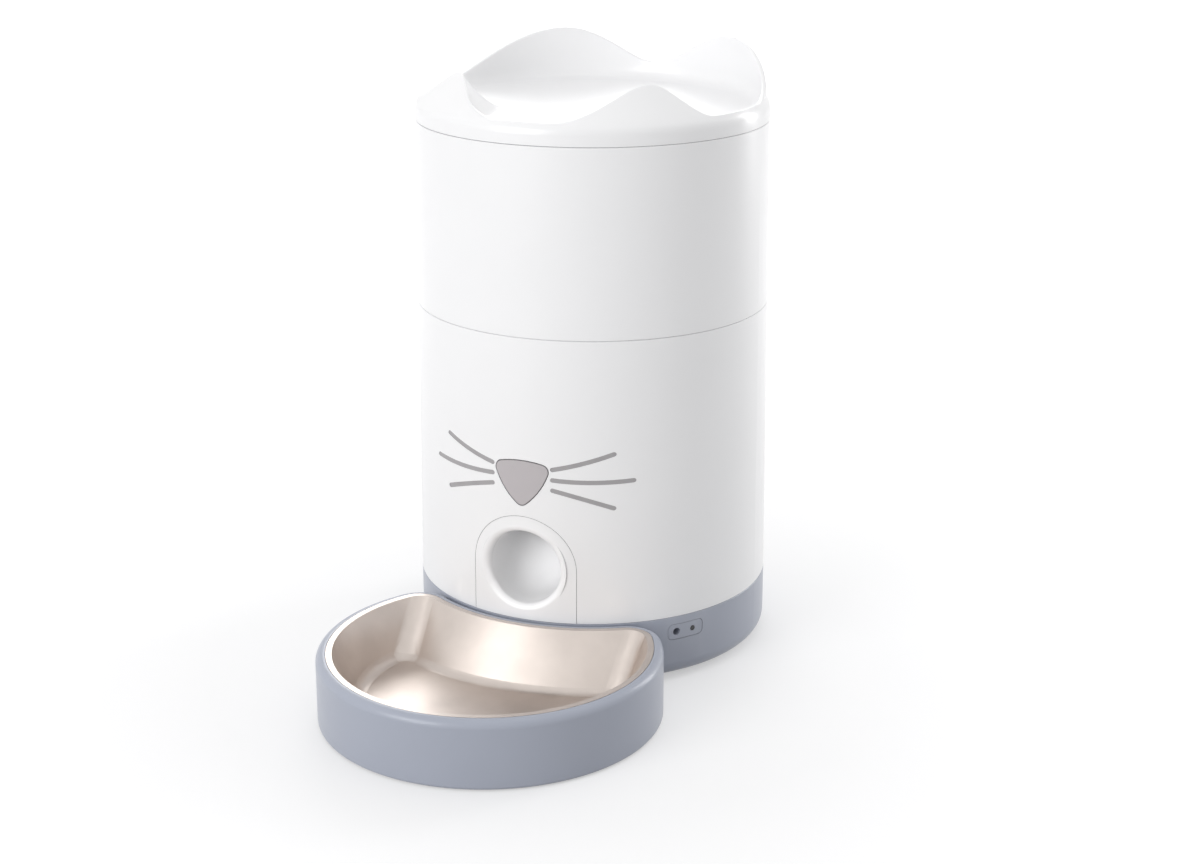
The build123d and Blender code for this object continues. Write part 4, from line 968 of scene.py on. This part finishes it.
def add_mouth_lamp():
    """Narrow lamp that reaches only into the mouth."""
    light = bpy.data.lights.new("mouth_lamp", "SPOT")
    light.energy = 38
    light.spot_size = radians(2.3)
    light.spot_blend = 1.0
    light.shadow_soft_size = 0.01
    lamp = link_new("mouth_lamp", light)
    lamp.location = MOUTH_LAMP_PLACE
    lamp.visible_glossy = False
    aim(lamp, MOUTH_MIDDLE)


def add_camera():
    """Camera at the photograph's angle."""
    own = sizes()
    data = bpy.data.cameras.new("camera")
    data.sensor_width = 36
    data.lens = own.camera_lens
    data.clip_end = 50
    camera = link_new("camera", data)
    side = own.camera_azimuth
    camera.location = (
        own.camera_distance * sin(side),
        AXIS_Y - own.camera_distance * cos(side),
        own.camera_height,
    )
    camera.rotation_euler = Euler((pi / 2 - own.camera_pitch, 0, side + CAMERA_TURN))
    bpy.context.scene.camera = camera


def seen_directly(tree):
    """1 where the camera, a mirroring or a clear surface looks, and 0 where only light is gathered."""
    path = tree.nodes.new("ShaderNodeLightPath")
    seen = add_math(tree, "MAXIMUM", path.outputs["Is Camera Ray"], path.outputs["Is Glossy Ray"])
    return add_math(tree, "MAXIMUM", seen, path.outputs["Is Transmission Ray"])


def stage_material():
    """Pale floor with a painted glow, seen by the camera and in mirroring or clear surfaces, weaker near
    the object and stronger far from it; it keeps the shadow, and isn't seen from below.
    """
    made = bpy.data.materials.new("stage_floor")
    made.use_nodes = True
    tree = made.node_tree
    shader = tree.nodes["Principled BSDF"]
    shader.inputs["Base Color"].default_value = FLOOR_COLOUR
    shader.inputs["Roughness"].default_value = 0.8
    shader.inputs["Specular IOR Level"].default_value = 0.1
    place = tree.nodes.new("ShaderNodeTexCoord")
    length = tree.nodes.new("ShaderNodeVectorMath")
    length.operation = "LENGTH"
    tree.links.new(place.outputs["Object"], length.inputs[0])
    away = length.outputs["Value"]
    # Painted light: the floor's glow grows with distance from the object.
    painted_floor_glow = add_range(tree, away, FLOOR_NEAR_DISTANCE, FLOOR_FAR_DISTANCE, FLOOR_NEAR, FLOOR_FAR)
    glow = tree.nodes.new("ShaderNodeEmission")
    tree.links.new(add_math(tree, "MULTIPLY", seen_directly(tree), painted_floor_glow), glow.inputs["Strength"])
    joined = tree.nodes.new("ShaderNodeAddShader")
    tree.links.new(shader.outputs["BSDF"], joined.inputs[0])
    tree.links.new(glow.outputs["Emission"], joined.inputs[1])
    side = tree.nodes.new("ShaderNodeNewGeometry")
    clear = tree.nodes.new("ShaderNodeBsdfTransparent")
    one_sided = tree.nodes.new("ShaderNodeMixShader")
    tree.links.new(side.outputs["Backfacing"], one_sided.inputs["Fac"])
    tree.links.new(joined.outputs["Shader"], one_sided.inputs[1])
    tree.links.new(clear.outputs["BSDF"], one_sided.inputs[2])
    tree.links.new(one_sided.outputs["Shader"], tree.nodes["Material Output"].inputs["Surface"])
    return made


def stage_world():
    """White backdrop for the eye and for reflections, and a softer light for the object."""
    world = bpy.data.worlds.new("stage_world")
    bpy.context.scene.world = world
    world.use_nodes = True
    tree = world.node_tree
    back = tree.nodes["Background"]
    back.inputs["Color"].default_value = (1.0, 1.0, 1.0, 1.0)
    place = tree.nodes.new("ShaderNodeTexCoord")
    split = tree.nodes.new("ShaderNodeSeparateXYZ")
    tree.links.new(place.outputs["Generated"], split.inputs["Vector"])
    room = add_range(tree, split.outputs["Y"], -0.1, 0.7, WORLD_FRONT, WORLD_BACK)
    tree.links.new(add_range(tree, seen_directly(tree), 0.0, 1.0, room, 1.0), back.inputs["Strength"])


class FEEDER_OT_stage(bpy.types.Operator):
    """Floor, soft lamps, backdrop and camera"""

    bl_idname = "feeder.stage"
    bl_label = "Stage"

    def execute(self, context):
        clear_selection()
        bpy.ops.mesh.primitive_plane_add(size=FLOOR_SIZE, location=(0, 0, 0))
        floor = context.active_object
        floor.name = "stage_floor"
        floor.data.materials.append(stage_material())
        stage_world()
        for row in LAMPS:
            add_lamp(*row)
        add_mouth_lamp()
        add_camera()
        context.scene.view_settings.view_transform = "Standard"
        return {"FINISHED"}


class FEEDER_PT_panel(bpy.types.Panel):
    """Buttons that make each group of pieces"""

    bl_idname = "FEEDER_PT_panel"
    bl_label = "Pet feeder"
    bl_space_type = "VIEW_3D"
    bl_region_type = "UI"
    bl_category = "Feeder"

    def draw(self, context):
        for operator in OPERATORS:
            self.layout.operator(operator.bl_idname)
        for group in (sizes(), colours()):
            for name in group.__annotations__:
                self.layout.prop(group, name)


OPERATORS = (
    FEEDER_OT_stage,
    FEEDER_OT_casing,
    FEEDER_OT_base,
    FEEDER_OT_face,
    FEEDER_OT_tray,
    FEEDER_OT_food_path,
    FEEDER_OT_boards,
    FEEDER_OT_drive,
    FEEDER_OT_lid_parts,
    FEEDER_OT_lid,
)
CLASSES = (FeederColours, FeederSizes, *OPERATORS, FEEDER_PT_panel)


def register():
    for item in CLASSES:
        bpy.utils.register_class(item)
    bpy.types.Scene.feeder_colours = bpy.props.PointerProperty(type=FeederColours)
    bpy.types.Scene.feeder_sizes = bpy.props.PointerProperty(type=FeederSizes)


def unregister():
    del bpy.types.Scene.feeder_sizes
    del bpy.types.Scene.feeder_colours
    for item in reversed(CLASSES):
        bpy.utils.unregister_class(item)


def main():
    register()
    bpy.ops.feeder.stage()
    bpy.ops.feeder.casing()
    bpy.ops.feeder.base()
    bpy.ops.feeder.face()
    bpy.ops.feeder.tray()
    bpy.ops.feeder.food_path()
    bpy.ops.feeder.boards()
    bpy.ops.feeder.drive()
    bpy.ops.feeder.lid_parts()
    check_finishes()
    bpy.ops.feeder.lid()


if __name__ == "__main__":
    main()
